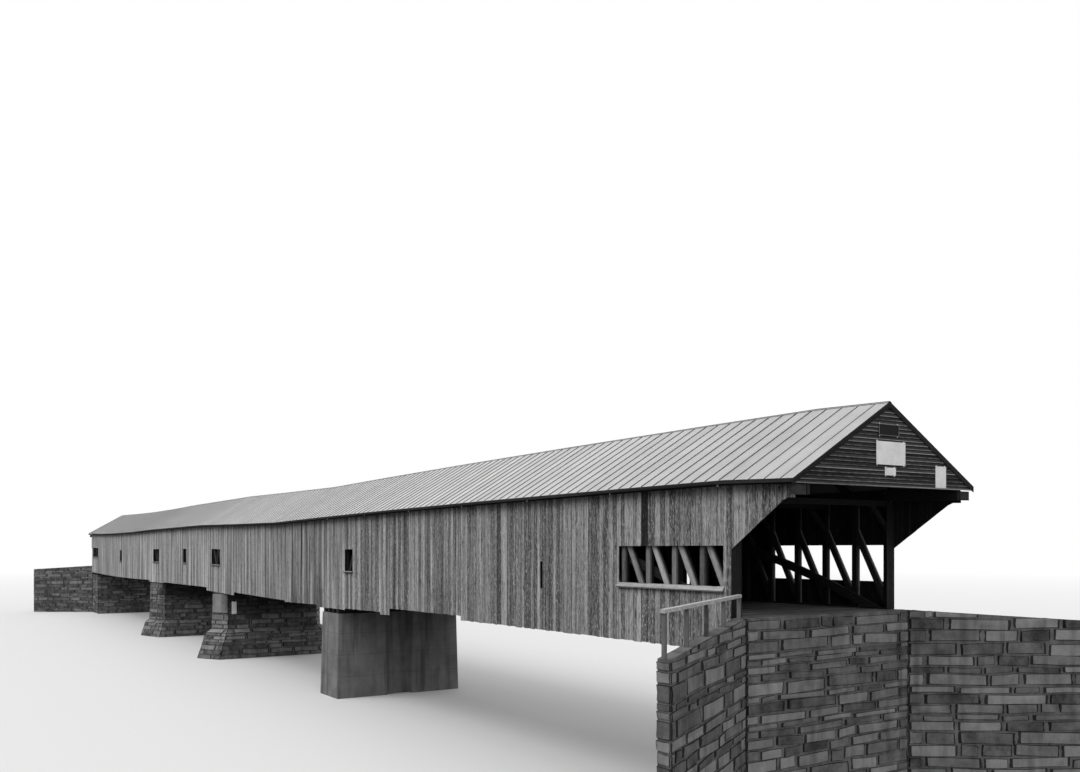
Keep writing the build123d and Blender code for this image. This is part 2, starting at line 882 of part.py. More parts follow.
casings = []
plate_boxes = []
for end, end_x, gable_x, out, slope_length in (
    ("near", near_end_x, near_gable_x, 1, near_wing_slope_length),
    ("far", far_end_x, far_gable_x, -1, far_wing_slope_length),
):
    box_x = gable_x - out * plate_box_length
    slope_x = end_x + out * slope_length
    slope_top = portal_wing_height + slope_length * math.tan(math.radians(portal_wing_pitch))
    wing = [
        (end_x, deck_z(end_x) + portal_wing_height),
        (slope_x, deck_z(slope_x) + slope_top),
        (box_x, deck_z(box_x) + slope_top),
        (box_x, deck_z(box_x) + siding_top),
        (end_x, deck_z(end_x) + siding_top),
    ]
    save(f"{end}_portal_wings", [along(wing, side, siding_layer) for _, side in SIDES])
    for _, side in SIDES:
        casing = [
            (end_x, deck_z(end_x)), (end_x + out * portal_casing_thickness, deck_z(end_x)),
            (end_x + out * portal_casing_thickness, deck_z(end_x) + plate_bottom - overhang_droop),
            (end_x, deck_z(end_x) + plate_bottom - overhang_droop),
        ]
        casings.append(along(casing, side, (siding_thickness, inner_stick[1])))
        high = plate_top - (plate_depth - plate_box_depth)
        shape = strip(max(gable_x, box_x), min(gable_x, box_x), high - plate_box_depth, high)
        plate_boxes.append(along(shape, side, (-plate_box_outreach, plate_box_reach)))
save("portal_casings", casings)
save("plate_end_boxes", plate_boxes)

# Rail of the near approach


def near_coping(run):
    return coping_height(near_deck_height, run)


def rail_top(run):
    return near_deck_height + rail_height


def rail_bottom(run):
    return near_deck_height + rail_height - rail_depth


rail_offset = (wing_thickness - rail_width) / 2
rail = wing_piece(
    near_end_x, 1, -1, 0, wing_length, rail_bottom, rail_top, rail_offset, rail_width,
)
save("approach_rail", [rail])
rail_posts = []
rail_post_offset = (wing_thickness - rail_post_width) / 2
for index in range(rail_post_count):
    middle = rail_post_width + (wing_length - 2 * rail_post_width) * index / (rail_post_count - 1)
    rail_posts.append(wing_piece(
        near_end_x, 1, -1, middle - rail_post_width / 2, middle + rail_post_width / 2,
        near_coping, rail_bottom, rail_post_offset, rail_post_width,
    ))
save("approach_rail_posts", rail_posts)
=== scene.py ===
import math
import random

import bmesh
import bpy
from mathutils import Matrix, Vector


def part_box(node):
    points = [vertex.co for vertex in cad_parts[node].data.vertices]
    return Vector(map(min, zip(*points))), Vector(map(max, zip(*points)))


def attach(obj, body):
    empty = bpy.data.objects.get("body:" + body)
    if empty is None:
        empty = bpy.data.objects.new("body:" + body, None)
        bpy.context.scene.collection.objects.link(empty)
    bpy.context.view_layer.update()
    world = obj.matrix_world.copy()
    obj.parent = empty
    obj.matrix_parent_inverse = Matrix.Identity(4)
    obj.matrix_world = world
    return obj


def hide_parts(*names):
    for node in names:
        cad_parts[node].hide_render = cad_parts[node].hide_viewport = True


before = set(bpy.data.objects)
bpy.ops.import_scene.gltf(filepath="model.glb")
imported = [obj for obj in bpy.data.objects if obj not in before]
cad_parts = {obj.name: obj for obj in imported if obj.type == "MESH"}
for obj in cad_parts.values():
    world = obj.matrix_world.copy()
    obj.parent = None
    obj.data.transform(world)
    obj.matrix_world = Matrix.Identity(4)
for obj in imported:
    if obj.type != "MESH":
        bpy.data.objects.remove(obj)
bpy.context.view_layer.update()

# Camera, standing low and to the south of the near portal.
# It looks along the south wall, level, with the horizon low in the picture.

camera_place = Vector((7.857, -2.4735, 0.8784))
camera_forward = Vector((-0.8419, 0.5397, 0))
picture_width, picture_height, horizon_row = 1080, 772, 542.96


def set_out(name, data):
    """New object in the scene."""
    made = bpy.data.objects.new(name, data)
    bpy.context.scene.collection.objects.link(made)
    return made


lens = bpy.data.cameras.new("camera")
lens.lens, lens.sensor_width, lens.clip_end = 33.47, 36, 200
lens.shift_y = (horizon_row - picture_height / 2) / picture_width
camera = set_out("camera", lens)
camera.location = camera_place
camera.rotation_euler = camera_forward.to_track_quat("-Z", "Y").to_euler()
bpy.context.scene.camera = camera
bpy.context.scene.view_settings.view_transform = "Standard"

# Light, a pale sky all round, a broad soft sun from the south and a weaker one from beyond the near portal.
# The pale floor runs out into the white behind it.


def add(tree, kind, inputs=None, **settings):
    """New node in a tree, its inputs given as values, as sockets or as nodes whose first output is meant."""
    made = tree.nodes.new(kind)
    for name, value in settings.items():
        setattr(made, name, value)
    for name, value in (inputs or {}).items():
        if isinstance(value, bpy.types.Node):
            value = value.outputs[0]
        if isinstance(value, bpy.types.NodeSocket):
            tree.links.new(value, made.inputs[name])
        else:
            made.inputs[name].default_value = value
    return made


def reckon(tree, operation, *values, **settings):
    """Sum, product or other reckoning of one, two or three values."""
    return add(tree, "ShaderNodeMath", dict(enumerate(values)), operation=operation, **settings).outputs[0]


def ramp(tree, value, start, end, low, high):
    """A value's range from start to end turned into the range from low to high, and held at its ends."""
    return add(tree, "ShaderNodeMapRange", {
        "Value": value, "From Min": start, "From Max": end, "To Min": low, "To Max": high}).outputs[0]


def seen_directly(tree):
    """One for what the camera, a mirror or clear glass sees, and nought for light that falls on things."""
    ray = add(tree, "ShaderNodeLightPath").outputs
    mirrored = reckon(tree, "MAXIMUM", ray["Is Camera Ray"], ray["Is Glossy Ray"])
    return reckon(tree, "MAXIMUM", mirrored, ray["Is Transmission Ray"])


white = (1, 1, 1, 1)
world = bpy.data.worlds.new("sky")
world.use_nodes = True
tree = world.node_tree
tree.nodes.clear()
sky_way = add(tree, "ShaderNodeTexCoord").outputs["Generated"]
sky_height = add(tree, "ShaderNodeSeparateXYZ", {0: sky_way}).outputs["Z"]
sky_edge, sky_top = 0.3, 0.92
sky_strength = ramp(tree, sky_height, 0.0, 1.0, sky_edge, sky_top)
sky_light = add(tree, "ShaderNodeBackground", {"Color": white, "Strength": sky_strength})
sky_seen = add(tree, "ShaderNodeBackground", {"Color": white, "Strength": 1.0})
sky = add(tree, "ShaderNodeMixShader", {0: seen_directly(tree), 1: sky_light, 2: sky_seen})
add(tree, "ShaderNodeOutputWorld", {"Surface": sky})
bpy.context.scene.world = world

for name, strength, spread, way in (
    ("sun", 1.35, 40, (0.14, 0.72, -0.78)), ("portal_light", 0.95, 60, (-0.82, 0.32, -0.46)),
):
    sun = bpy.data.lights.new(name, "SUN")
    sun.energy = strength
    sun.angle = math.radians(spread)
    set_out(name, sun).rotation_euler = Vector(way).to_track_quat("-Z", "Y").to_euler()

floor_radius, floor_drop = 70, 0.0005
fade_start, fade_end = 7.0, 26.0
floor_grey, floor_pale = 0.13, 0.72
shape = bmesh.new()
bmesh.ops.create_circle(shape, cap_ends=True, segments=96, radius=floor_radius)
floor_mesh = bpy.data.meshes.new("floor")
shape.to_mesh(floor_mesh)
floor = set_out("floor", floor_mesh)
floor.location = (0, 0, -floor_drop)
floor_paint = bpy.data.materials.new("floor_paint")
floor_paint.use_nodes = True
tree = floor_paint.node_tree
tree.nodes.clear()
floor_tone = add(tree, "ShaderNodeMapRange", {"Value": seen_directly(tree), "To Min": floor_grey, "To Max": floor_pale})
matt = add(tree, "ShaderNodeBsdfDiffuse", {"Color": floor_tone})
glow = add(tree, "ShaderNodeEmission", {"Color": white, "Strength": 1.0})
place = add(tree, "ShaderNodeTexCoord").outputs["Object"]
away = add(tree, "ShaderNodeVectorMath", {0: place}, operation="LENGTH").outputs["Value"]
fade_seen = reckon(tree, "MULTIPLY", ramp(tree, away, fade_start, fade_end, 0.0, 1.0), seen_directly(tree))
floor_mix = add(tree, "ShaderNodeMixShader", {0: fade_seen, 1: matt, 2: glow})
add(tree, "ShaderNodeOutputMaterial", {"Surface": floor_mix})
floor_mesh.materials.append(floor_paint)

# Stone of the abutments, wing walls and the two stone piers.
# Rubble laid in rough level courses, each stone split by hand and set a little proud of a dark recessed joint.
# The stones stand on a core, which is the CAD solid drawn in by the depth of the joints.

joint_depth, joint_width, open_joint = 0.0062, 0.0052, 0.007
corner_inset = 0.0022
bed_unevenness = 0.0045
stone_course = (0.018, 0.046)
stone_length = (0.05, 0.23)
stone_tone = (-0.35, 1.15)
smallest_stone = 1.2e-4
same_level, same_place, hair, far_out = 2e-4, 1e-4, 1e-6, 9
# Where and how strongly the stone is darkened with painted shade: under the deck, and on the stones' sides in the
# joints.
under_deck_shade_rise, under_deck_shade_side, under_deck_shade_end = (0.27, 0.39), (0.35, 0.39), (5.0, 5.2)
under_deck_shade_strength, joint_dark = 0.78, 0.1
surface = {"Color": "Color", "Roughness": "Float", "Height": "Float"}


def grey(value):
    return (value, value, value, 1)


def product(tree, *values):
    """All the values multiplied."""
    result = values[0]
    for value in values[1:]:
        result = reckon(tree, "MULTIPLY", result, value)
    return result


def cloud(tree, vector, scale, detail, roughness=0.5, stretch=None):
    """Noise, drawn out along an axis where a stretch is given."""
    if stretch:
        vector = add(tree, "ShaderNodeMapping", {"Vector": vector, "Scale": stretch})
    return add(tree, "ShaderNodeTexNoise", {
        "Vector": vector, "Scale": scale, "Detail": detail, "Roughness": roughness}).outputs[0]


def blend(tree, factor, first, second, kind="RGBA"):
    """Colour or number between two others."""
    return add(tree, "ShaderNodeMix", {"Factor": factor, "A": first, "B": second}, data_type=kind).outputs["Result"]


def parts_of(tree, vector):
    """The x, y and z of a vector."""
    return add(tree, "ShaderNodeSeparateXYZ", {0: vector}).outputs


def object_place(tree):
    return add(tree, "ShaderNodeTexCoord").outputs["Object"]


def kept_value(tree, name):
    """Value that the mesh keeps under a name."""
    return add(tree, "ShaderNodeAttribute", attribute_name=name).outputs["Fac"]


def join(tree, inputs, values):
    """Links values to a node's inputs by name."""
    for label, value in values.items():
        tree.links.new(value, inputs[label])


def new_group(name, kind, inputs, outputs):
    """Node group with named inputs and outputs, each given by its value or by the word for its kind."""
    group = bpy.data.node_groups.new(name, kind)
    for way, sockets in (("INPUT", inputs), ("OUTPUT", outputs)):
        for label, value in sockets.items():
            word = value if isinstance(value, str) else "Int" if isinstance(value, int) else "Float"
            if isinstance(value, tuple):
                word = "Vector" if len(value) == 3 else "Color"
            made = group.interface.new_socket(label, in_out=way, socket_type="NodeSocket" + word)
            if not isinstance(value, str):
                made.default_value = value
    return group, group.nodes.new("NodeGroupInput").outputs, group.nodes.new("NodeGroupOutput").inputs


def mineral_group():
    """Colour, roughness and height of stone or concrete, mottled, speckled and stained from above."""
    group, given, result = new_group("mineral", "ShaderNodeTree", {
        "Vector": "Vector", "Tone": 0.5, "Light": grey(0.4), "Dark": grey(0.12), "Blotch Scale": 14.0,
        "Speckle Scale": 260.0, "Stain": 0.4}, surface)
    blotch = cloud(group, given["Vector"], given["Blotch Scale"], 6.0, 0.62)
    speckle = cloud(group, given["Vector"], given["Speckle Scale"], 3.0, 0.7)
    drips = cloud(group, given["Vector"], 1.0, 4.0, stretch=(26, 26, 2.2))
    tone = reckon(group, "MULTIPLY_ADD", given["Tone"], 0.45, -0.225)
    mottled = reckon(group, "MULTIPLY_ADD", blotch, 1.1, tone)
    fine = reckon(group, "MULTIPLY_ADD", speckle, 0.5, -0.28)
    level = reckon(group, "ADD", mottled, fine, use_clamp=True)
    colour = blend(group, level, given["Dark"], given["Light"])
    stain = product(group, ramp(group, drips, 0.5, 0.72, 0.0, 1.0), given["Stain"])
    join(group, result, {
        "Color": blend(group, stain, colour, given["Dark"]),
        "Roughness": ramp(group, level, 0.0, 1.0, 0.95, 0.8),
        "Height": reckon(group, "MULTIPLY_ADD", speckle, 0.35, blotch)})
    return group


mineral = mineral_group()


def new_material(name):
    """Material with one Principled shader, its tree and the shader's inputs."""
    made = bpy.data.materials.new(name)
    made.use_nodes = True
    return made, made.node_tree, made.node_tree.nodes["Principled BSDF"].inputs


def stick_tone(tree, place, spacing, start):
    """A tone for each stick, the sticks counted by their spacing."""
    counted = add(tree, "ShaderNodeVectorMath", {0: place, 1: start}, operation="SUBTRACT")
    cells = add(tree, "ShaderNodeVectorMath", {0: counted, 1: spacing}, operation="DIVIDE")
    whole = add(tree, "ShaderNodeVectorMath", {0: cells}, operation="FLOOR")
    return add(tree, "ShaderNodeTexWhiteNoise", {"Vector": whole}, noise_dimensions="3D").outputs["Value"]


def finish(name, group, light, dark, marks, bump, depth, specular=0.2, turn=None, tone=None, start=(0, 0, 0)):
    """Material whose colour, roughness and bump come from a group read on Object coordinates.

    Its tone is one that the mesh keeps under a name, or one for each stick of a spacing.
    """
    made, tree, shader = new_material(name)
    place = object_place(tree)
    way = add(tree, "ShaderNodeMapping", {"Vector": place, "Rotation": turn}) if turn else place
    look = add(tree, "ShaderNodeGroup", {
        "Vector": way, "Light": grey(light), "Dark": grey(dark), **marks}, node_tree=group)
    if tone:
        own = kept_value(tree, tone) if isinstance(tone, str) else stick_tone(tree, place, tone, start)
        tree.links.new(own, look.inputs["Tone"])
    relief = add(tree, "ShaderNodeBump", {"Strength": bump, "Distance": depth, "Height": look.outputs["Height"]})
    join(tree, shader, {
        "Base Color": look.outputs["Color"], "Roughness": look.outputs["Roughness"], "Normal": relief.outputs[0]})
    shader["Specular IOR Level"].default_value = specular
    return made


def shaded(material, factor):
    """Multiplies the base colour that a material has by a factor."""
    tree = material.node_tree
    colour = tree.nodes["Principled BSDF"].inputs["Base Color"]
    mixed = add(tree, "ShaderNodeMix", {"Factor": 1.0, "A": colour.links[0].from_socket, "B": factor},
                data_type="RGBA", blend_type="MULTIPLY")
    tree.links.new(mixed.outputs["Result"], colour)


rubble_stone = finish(
    "rubble_stone", mineral, 0.3, 0.035, {"Blotch Scale": 17.0, "Stain": 0.5}, 0.7, 0.002, tone="tone")
joint_mortar = finish("joint_mortar", mineral, 0.015, 0.004, {"Blotch Scale": 60.0, "Stain": 0.3}, 0.6, 0.002)
bed_stone = finish("bed_stone", mineral, 0.36, 0.08, {"Blotch Scale": 17.0, "Stain": 0.0}, 0.5, 0.002)
tree = rubble_stone.node_tree
place = parts_of(tree, object_place(tree))
# Painted shade: the stone grows darker up towards the deck where it stands under the bridge, but not on the pointed
# ends or on the abutments.
under_deck_painted_shade = product(
    tree, ramp(tree, place["Z"], *under_deck_shade_rise, 0.0, under_deck_shade_strength),
    ramp(tree, reckon(tree, "ABSOLUTE", place["Y"]), *under_deck_shade_side, 1.0, 0.0),
    ramp(tree, reckon(tree, "ABSOLUTE", place["X"]), *under_deck_shade_end, 1.0, 0.0))
# Painted shade: the side faces of the raised stones, down in the joints, are made near black.
joint_shade = ramp(tree, kept_value(tree, "in_joint"), 0.0, 1.0, 1.0, joint_dark)
shaded(rubble_stone, product(tree, joint_shade, reckon(tree, "SUBTRACT", 1.0, under_deck_painted_shade)))


def keep_value(group, geometry, name, value, domain="FACE"):
    """The mesh keeps a value under a name."""
    return add(group, "GeometryNodeStoreNamedAttribute", {
        "Geometry": geometry, "Name": name, "Value": value}, data_type="FLOAT", domain=domain)


def welded(group, distance, *parts):
    """Parts of a mesh joined, their corners welded where they meet."""
    closed = add(group, "GeometryNodeJoinGeometry")
    for part in parts:
        group.links.new(part, closed.inputs[0])
    return add(group, "GeometryNodeMergeByDistance", {"Geometry": closed, "Distance": distance})


def end_tree(group, result, geometry, material):
    """Ends a tree in plain mesh with its material."""
    whole = add(group, "GeometryNodeRealizeInstances", {"Geometry": geometry})
    dressed = add(group, "GeometryNodeSetMaterial", {"Geometry": whole, "Material": material})
    group.links.new(dressed.outputs[0], result["Geometry"])
    return group


def stone_tree():
    """Raises each flat stone outline to a proud, chamfered, roughly split block."""
    group, given, result = new_group("split stones", "GeometryNodeTree", {
        "Geometry": "Geometry", "Joint Depth": 0.004, "Face Share": 0.9, "Roughness": 0.003,
        "Grain Scale": 30.0, "Fineness": 1, "Seed": 3, "Stone": "Material"}, {"Geometry": "Geometry"})
    lift = add(group, "FunctionNodeRandomValue", {"Seed": given["Seed"], 2: 0.3, 3: 0.7}, data_type="FLOAT")
    raised = add(group, "GeometryNodeExtrudeMesh", {
        "Mesh": given["Geometry"], "Offset Scale": product(group, lift.outputs[1], given["Joint Depth"]),
        "Individual": True}, mode="FACES").outputs
    # The side faces of each raised stone are marked in_joint, so that the stone material can put painted shade on them.
    marked = keep_value(group, raised["Mesh"], "in_joint", raised["Side"])
    chamfer = add(group, "GeometryNodeScaleElements", {
        "Geometry": marked, "Selection": raised["Top"], "Scale": given["Face Share"]}, domain="FACE")
    backs = add(group, "GeometryNodeFlipFaces", {"Mesh": given["Geometry"]})
    block = welded(group, 1e-5, chamfer.outputs[0], backs.outputs[0])
    finer = add(group, "GeometryNodeSubdivideMesh", {"Mesh": block, "Level": given["Fineness"]})
    noise = add(group, "ShaderNodeTexNoise", {
        "Vector": add(group, "GeometryNodeInputPosition"), "Scale": given["Grain Scale"], "Detail": 2.0})
    centred = add(group, "ShaderNodeVectorMath", {0: noise.outputs["Color"], 1: (0.5, 0.5, 0.5)},
                  operation="SUBTRACT")
    shift = add(group, "ShaderNodeVectorMath", {0: centred, "Scale": given["Roughness"]}, operation="SCALE")
    split = add(group, "GeometryNodeSetPosition", {"Geometry": finer, "Offset": shift})
    return end_tree(group, result, split, given["Stone"])


split_stones = stone_tree()


def grow(name, mesh, tree, settings):
    """Plain mesh object of what a tree makes of a mesh, with the tree's inputs set by name."""
    seed_object = set_out(name + "_seed", mesh)
    modifier = seed_object.modifiers.new("grow", "NODES")
    modifier.node_group = tree
    sockets = {s.name: s.identifier for s in tree.interface.items_tree if s.in_out == "INPUT"}
    for label, value in settings.items():
        modifier[sockets[label]] = value
    bpy.context.view_layer.update()
    depsgraph = bpy.context.evaluated_depsgraph_get()
    made = bpy.data.meshes.new_from_object(seed_object.evaluated_get(depsgraph))
    seed_object.modifiers.remove(modifier)
    bpy.data.objects.remove(seed_object)
    made.name = name
    return set_out(name, made)


def seat(piece, replaced=None):
    """A finished piece rides on the bridge and stands for a CAD node where one is named."""
    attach(piece, "root")
    if replaced:
        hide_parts(replaced)


def merged_copy(node):
    """Bmesh of a CAD node with its corner points joined."""
    shape = bmesh.new()
    shape.from_mesh(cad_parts[node].data)
    bmesh.ops.remove_doubles(shape, verts=shape.verts, dist=hair)
    return shape


def solids_of(node):
    """The corner points of each separate solid of a CAD node, from the near end on and always in the same order."""
    shape = merged_copy(node)
    left = set(shape.verts)
    found = []
    while left:
        group = [left.pop()]
        for vertex in group:
            for edge in vertex.link_edges:
                other = edge.other_vert(vertex)
                if other in left:
                    left.remove(other)
                    group.append(other)
        found.append(sorted((v.co.copy() for v in group), key=tuple))
    shape.free()

    def place(points):
        middle = sum(points, Vector()) / len(points)
        return -round(middle.x, 5), round(middle.y, 5), round(middle.z, 5)

    return sorted(found, key=place)


def drawn_in(node, depth):
    """Mesh of a CAD node with its upright faces moved in by a depth, and its level faces left in place."""
    shape = merged_copy(node)
    moves = {}
    for vertex in shape.verts:
        planes = []
        for face in vertex.link_faces:
            level = abs(face.normal.z) > 0.97
            if all((face.normal - n).length > 0.02 for n, _ in planes):
                planes.append((face.normal.copy(), 0 if level else -depth))
        move = Vector()
        for _ in range(60):
            for normal, wanted in planes:
                move += normal * (wanted - normal.dot(move))
        moves[vertex] = move
    for vertex, move in moves.items():
        vertex.co += move
    mesh = bpy.data.meshes.new(node + "_core")
    shape.to_mesh(mesh)
    shape.free()
    return mesh


def clipped(shape, edges):
    """Part of a flat outline inside a convex outline, both in two dimensions, run anticlockwise."""
    for (ax, ay), (bx, by) in zip(edges, edges[1:] + edges[:1]):
        kept = []
        for (px, py), (qx, qy) in zip(shape, shape[1:] + shape[:1]):
            p_in = (bx - ax) * (py - ay) - (by - ay) * (px - ax)
            q_in = (bx - ax) * (qy - ay) - (by - ay) * (qx - ax)
            if p_in >= 0:
                kept.append((px, py))
            if p_in * q_in < 0:
                part = p_in / (p_in - q_in)
                kept.append((px + (qx - px) * part, py + (qy - py) * part))
        shape = kept
        if len(shape) < 3:
            return []
    return shape


def outline_area(shape):
    return abs(sum(ax * by - bx * ay for (ax, ay), (bx, by) in zip(shape, shape[1:] + shape[:1]))) / 2


end_spread = (0.8, 1.2)
shortest_share, last_share = 0.6, 0.4


def upright_cuts(u_low, u_high, turned, chance):
    """Places of the upright joints of one course, which begins with a short stone or, turned, with a long one."""
    ends = [stone_length[0], sum(stone_length) / 2]
    if turned:
        ends.reverse()
    cuts = [u_low, u_low + ends[0] * chance.uniform(*end_spread)]
    last = u_high - ends[1] * chance.uniform(*end_spread)
    while last - cuts[-1] > stone_length[1]:
        cuts.append(cuts[-1] + chance.uniform(*stone_length))
    if last - cuts[-1] > shortest_share * stone_length[0]:
        cuts.append(last)
    return [c for c in cuts if c < u_high - last_share * stone_length[0]] + [u_high]


def lay_ring(stones, sides, levels, chance):
    """Stones on the upright sides of a ring, in courses shared by all, each corner stone long and short by turns."""
    corner_tones = {}
    for index, (low_a, low_b, high_b, high_a) in enumerate(sides):
        along = (low_b - low_a).normalized()
        normal = along.cross(high_a - low_a).normalized()
        up = normal.cross(along)
        if up.z < 0:
            up, normal = -up, -normal
        start = low_a - normal * joint_depth
        edge = [((p - low_a).dot(along), (p - low_a).dot(up)) for p in (low_a, low_b, high_b, high_a)]
        batter_low = (edge[3][0] - edge[0][0]) / (edge[3][1] - edge[0][1])
        batter_high = (edge[2][0] - edge[1][0]) / (edge[2][1] - edge[1][1])
        for course, (z_low, z_high) in enumerate(zip(levels, levels[1:])):
            v_low = (z_low - low_a.z) / up.z + joint_width / 2
            v_high = (z_high - low_a.z) / up.z - joint_width / 2
            middle = (v_low + v_high) / 2
            low, high = middle - same_place, middle + same_place
            row = clipped([(-far_out, low), (far_out, low), (far_out, high), (-far_out, high)], edge)
            if not row:
                continue
            cuts = upright_cuts(
                min(u for u, _ in row) + corner_inset, max(u for u, _ in row) - corner_inset,
                (index + course) % 2, chance)
            for number, (u_a, u_b) in enumerate(zip(cuts, cuts[1:])):
                first, final = number == 0, number == len(cuts) - 2
                a = u_a if first else u_a + joint_width / 2 + chance.uniform(0, open_joint) * (not final)
                b = u_b if final else u_b - joint_width / 2
                half = (v_high - v_low) / 2
                lean_a = batter_low * half if first else 0
                lean_b = batter_high * half if final else 0
                shift_a, shift_b = (0, 0) if first or final else (
                    chance.uniform(-bed_unevenness, bed_unevenness), chance.uniform(-bed_unevenness, bed_unevenness))
                piece = clipped([
                    (a - lean_a, v_low + shift_a), (b - lean_b, v_low - shift_b),
                    (b + lean_b, v_high - shift_b), (a + lean_a, v_high + shift_a)], edge)
                if len(piece) < 3 or outline_area(piece) < smallest_stone:
                    continue
                tone = chance.uniform(*stone_tone)
                if first:
                    tone = corner_tones.setdefault((index, course), tone)
                if final:
                    tone = corner_tones.setdefault(((index + 1) % len(sides), course), tone)
                points = [start + along * u + up * v for u, v in piece]
                if (points[1] - points[0]).cross(points[2] - points[1]).dot(normal) < 0:
                    points.reverse()
                stones.append((points, tone))


def courses(low, high, chance):
    """Levels of the bed joints between two heights."""
    levels = [low]
    while levels[-1] < high - stone_course[0] * 1.5:
        levels.append(min(high, levels[-1] + chance.uniform(*stone_course)))
    if high - levels[-1] > hair:
        levels.append(high)
    return levels


def ring_sides(lower, upper):
    return list(zip(lower, lower[1:] + lower[:1], upper[1:] + upper[:1], upper))


def around(points):
    """Points sorted anticlockwise round their middle, seen from above."""
    middle = sum(points, Vector()) / len(points)
    return sorted(points, key=lambda p: math.atan2(p.y - middle.y, p.x - middle.x))


def outlines_mesh(name, outlines):
    """Mesh of separate flat outlines, each with one tone kept for it."""
    points, faces = [], []
    for outline, _ in outlines:
        faces.append(range(len(points), len(points) + len(outline)))
        points += [tuple(p) for p in outline]
    mesh = bpy.data.meshes.new(name)
    mesh.from_pydata(points, [], faces)
    mesh.attributes.new("tone", "FLOAT", "FACE").data.foreach_set("value", [tone for _, tone in outlines])
    return mesh


def masonry(node, stones, fineness=1):
    """Stones raised from their outlines, with the drawn-in core behind them, in place of a CAD node."""
    name = node + "_stones"
    piece = grow(name, outlines_mesh(name, stones), split_stones, {
        "Joint Depth": joint_depth, "Face Share": 0.9, "Roughness": 0.009, "Grain Scale": 36.0,
        "Fineness": fineness, "Seed": 5, "Stone": rubble_stone})
    joined = bmesh.new()
    joined.from_mesh(piece.data)
    count = len(joined.faces)
    joined.from_mesh(drawn_in(node, joint_depth))
    joined.faces.ensure_lookup_table()
    for face in joined.faces[count:]:
        face.material_index = 2 if face.normal.z > 0.97 else 1
    low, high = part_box(node)
    for vertex in joined.verts:
        vertex.co = Vector(min(max(vertex.co[k], low[k]), high[k]) for k in range(3))
    joined.to_mesh(piece.data)
    joined.free()
    piece.data.materials.clear()
    for material in (rubble_stone, joint_mortar, bed_stone):
        piece.data.materials.append(material)
    seat(piece, node)


coat_share, coat_tone, limewashed = 0.42, 1.2, 0.85


def coated(stones, sides, shoulder):
    """The middle pier's pointed ends, smoothed with cement above and with paler stones below."""
    foot_z = sides[0][0].z
    coat_z = foot_z + (sides[0][2].z - foot_z) * coat_share
    kept = []
    for points, tone in stones:
        middle = sum(points, Vector()) / len(points)
        if abs(middle.y) < shoulder + 0.002:
            kept.append((points, tone))
        elif middle.z < coat_z:
            kept.append((points, limewashed + 0.3 * tone))
    for low_a, low_b, high_b, high_a in sides:
        if abs(low_a.y + low_b.y) >= 2.05 * shoulder:
            inward = (low_b - low_a).cross(high_a - low_a).normalized() * -joint_depth
            outline = (low_a.lerp(high_a, coat_share), low_b.lerp(high_b, coat_share), high_b, high_a)
            kept.append(([p + inward for p in outline], coat_tone))
    return kept


for node, seed in (("middle_pier", 11), ("middle_pier_base", 12), ("far_pier", 13), ("far_pier_base", 14)):
    chance = random.Random(seed)
    points = solids_of(node)[0]
    heights = sorted({round(p.z, 4) for p in points})
    rings = [around([p for p in points if abs(p.z - z) < same_level]) for z in heights]
    shoulder = max(min(abs(p.y) for p in ring) for ring in rings)
    stones = []
    for lower, upper in zip(rings, rings[1:]):
        lay_ring(stones, ring_sides(lower, upper), courses(lower[0].z, upper[0].z, chance), chance)
    if node == "middle_pier":
        stones = coated(stones, ring_sides(rings[0], rings[-1]), shoulder)
    masonry(node, stones, 2)

for node, seed in (("near_abutment", 21), ("far_abutment", 22)):
    chance = random.Random(seed)
    points = solids_of(node)[0]
    heights = sorted({round(p.z, 4) for p in points})
    foot, seat_points, top = [[p for p in points if abs(p.z - z) < same_level] for z in heights]
    outer = max(foot, key=lambda p: abs(p.x)).x
    inner, shelf = [end(seat_points, key=lambda p: abs(p.x)).x for end in (min, max)]
    stem, wall_foot = [
        around([Vector((x, y, heights[1])) for x in (front, outer) for y in {p.y for p in foot}])
        for front in (inner, shelf)]
    stones = []
    lay_ring(stones, ring_sides(around(foot), stem), courses(0, heights[1], chance), chance)
    lay_ring(stones, ring_sides(wall_foot, around(top)), courses(heights[1], heights[2], chance), chance)
    masonry(node, stones)

for node, seed in (("near_wing_walls", 31), ("far_wing_walls", 32)):
    chance = random.Random(seed)
    stones = []
    for points in solids_of(node):
        foot = around([p for p in points if abs(p.z) < same_place])
        top = [max((p for p in points if (p.xy - f.xy).length < same_place), key=lambda p: p.z) for f in foot]
        lay_ring(stones, ring_sides(foot, top), courses(0, max(p.z for p in top), chance), chance)
    masonry(node, stones)

# Concrete pier, poured in board forms about a tenth of its height at a time.
# Its faces are pale, with form lines, drips from the timbers above and a rough stained foot.

form_height, form_line = 0.061, 0.0016
concrete = finish("pier_concrete", mineral, 0.28, 0.06, {
    "Blotch Scale": 9.0, "Speckle Scale": 420.0, "Stain": 0.75, "Tone": 0.7}, 0.4, 0.0015, 0.25)
tree = concrete.node_tree
lifts = reckon(tree, "PINGPONG", parts_of(tree, object_place(tree))["Z"], form_height)
lines = ramp(tree, lifts, 0.0, form_line, 0.55, 1.0)
shaded(concrete, lines)
relief = tree.nodes["Bump"].inputs["Height"]
tree.links.new(reckon(tree, "ADD", relief.links[0].from_socket, lines), relief)


def dress(material, *nodes):
    """CAD nodes keep their shape and take a procedural material."""
    for node in nodes:
        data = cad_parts[node].data
        data.materials.clear()
        data.materials.append(material)


dress(concrete, "near_pier")
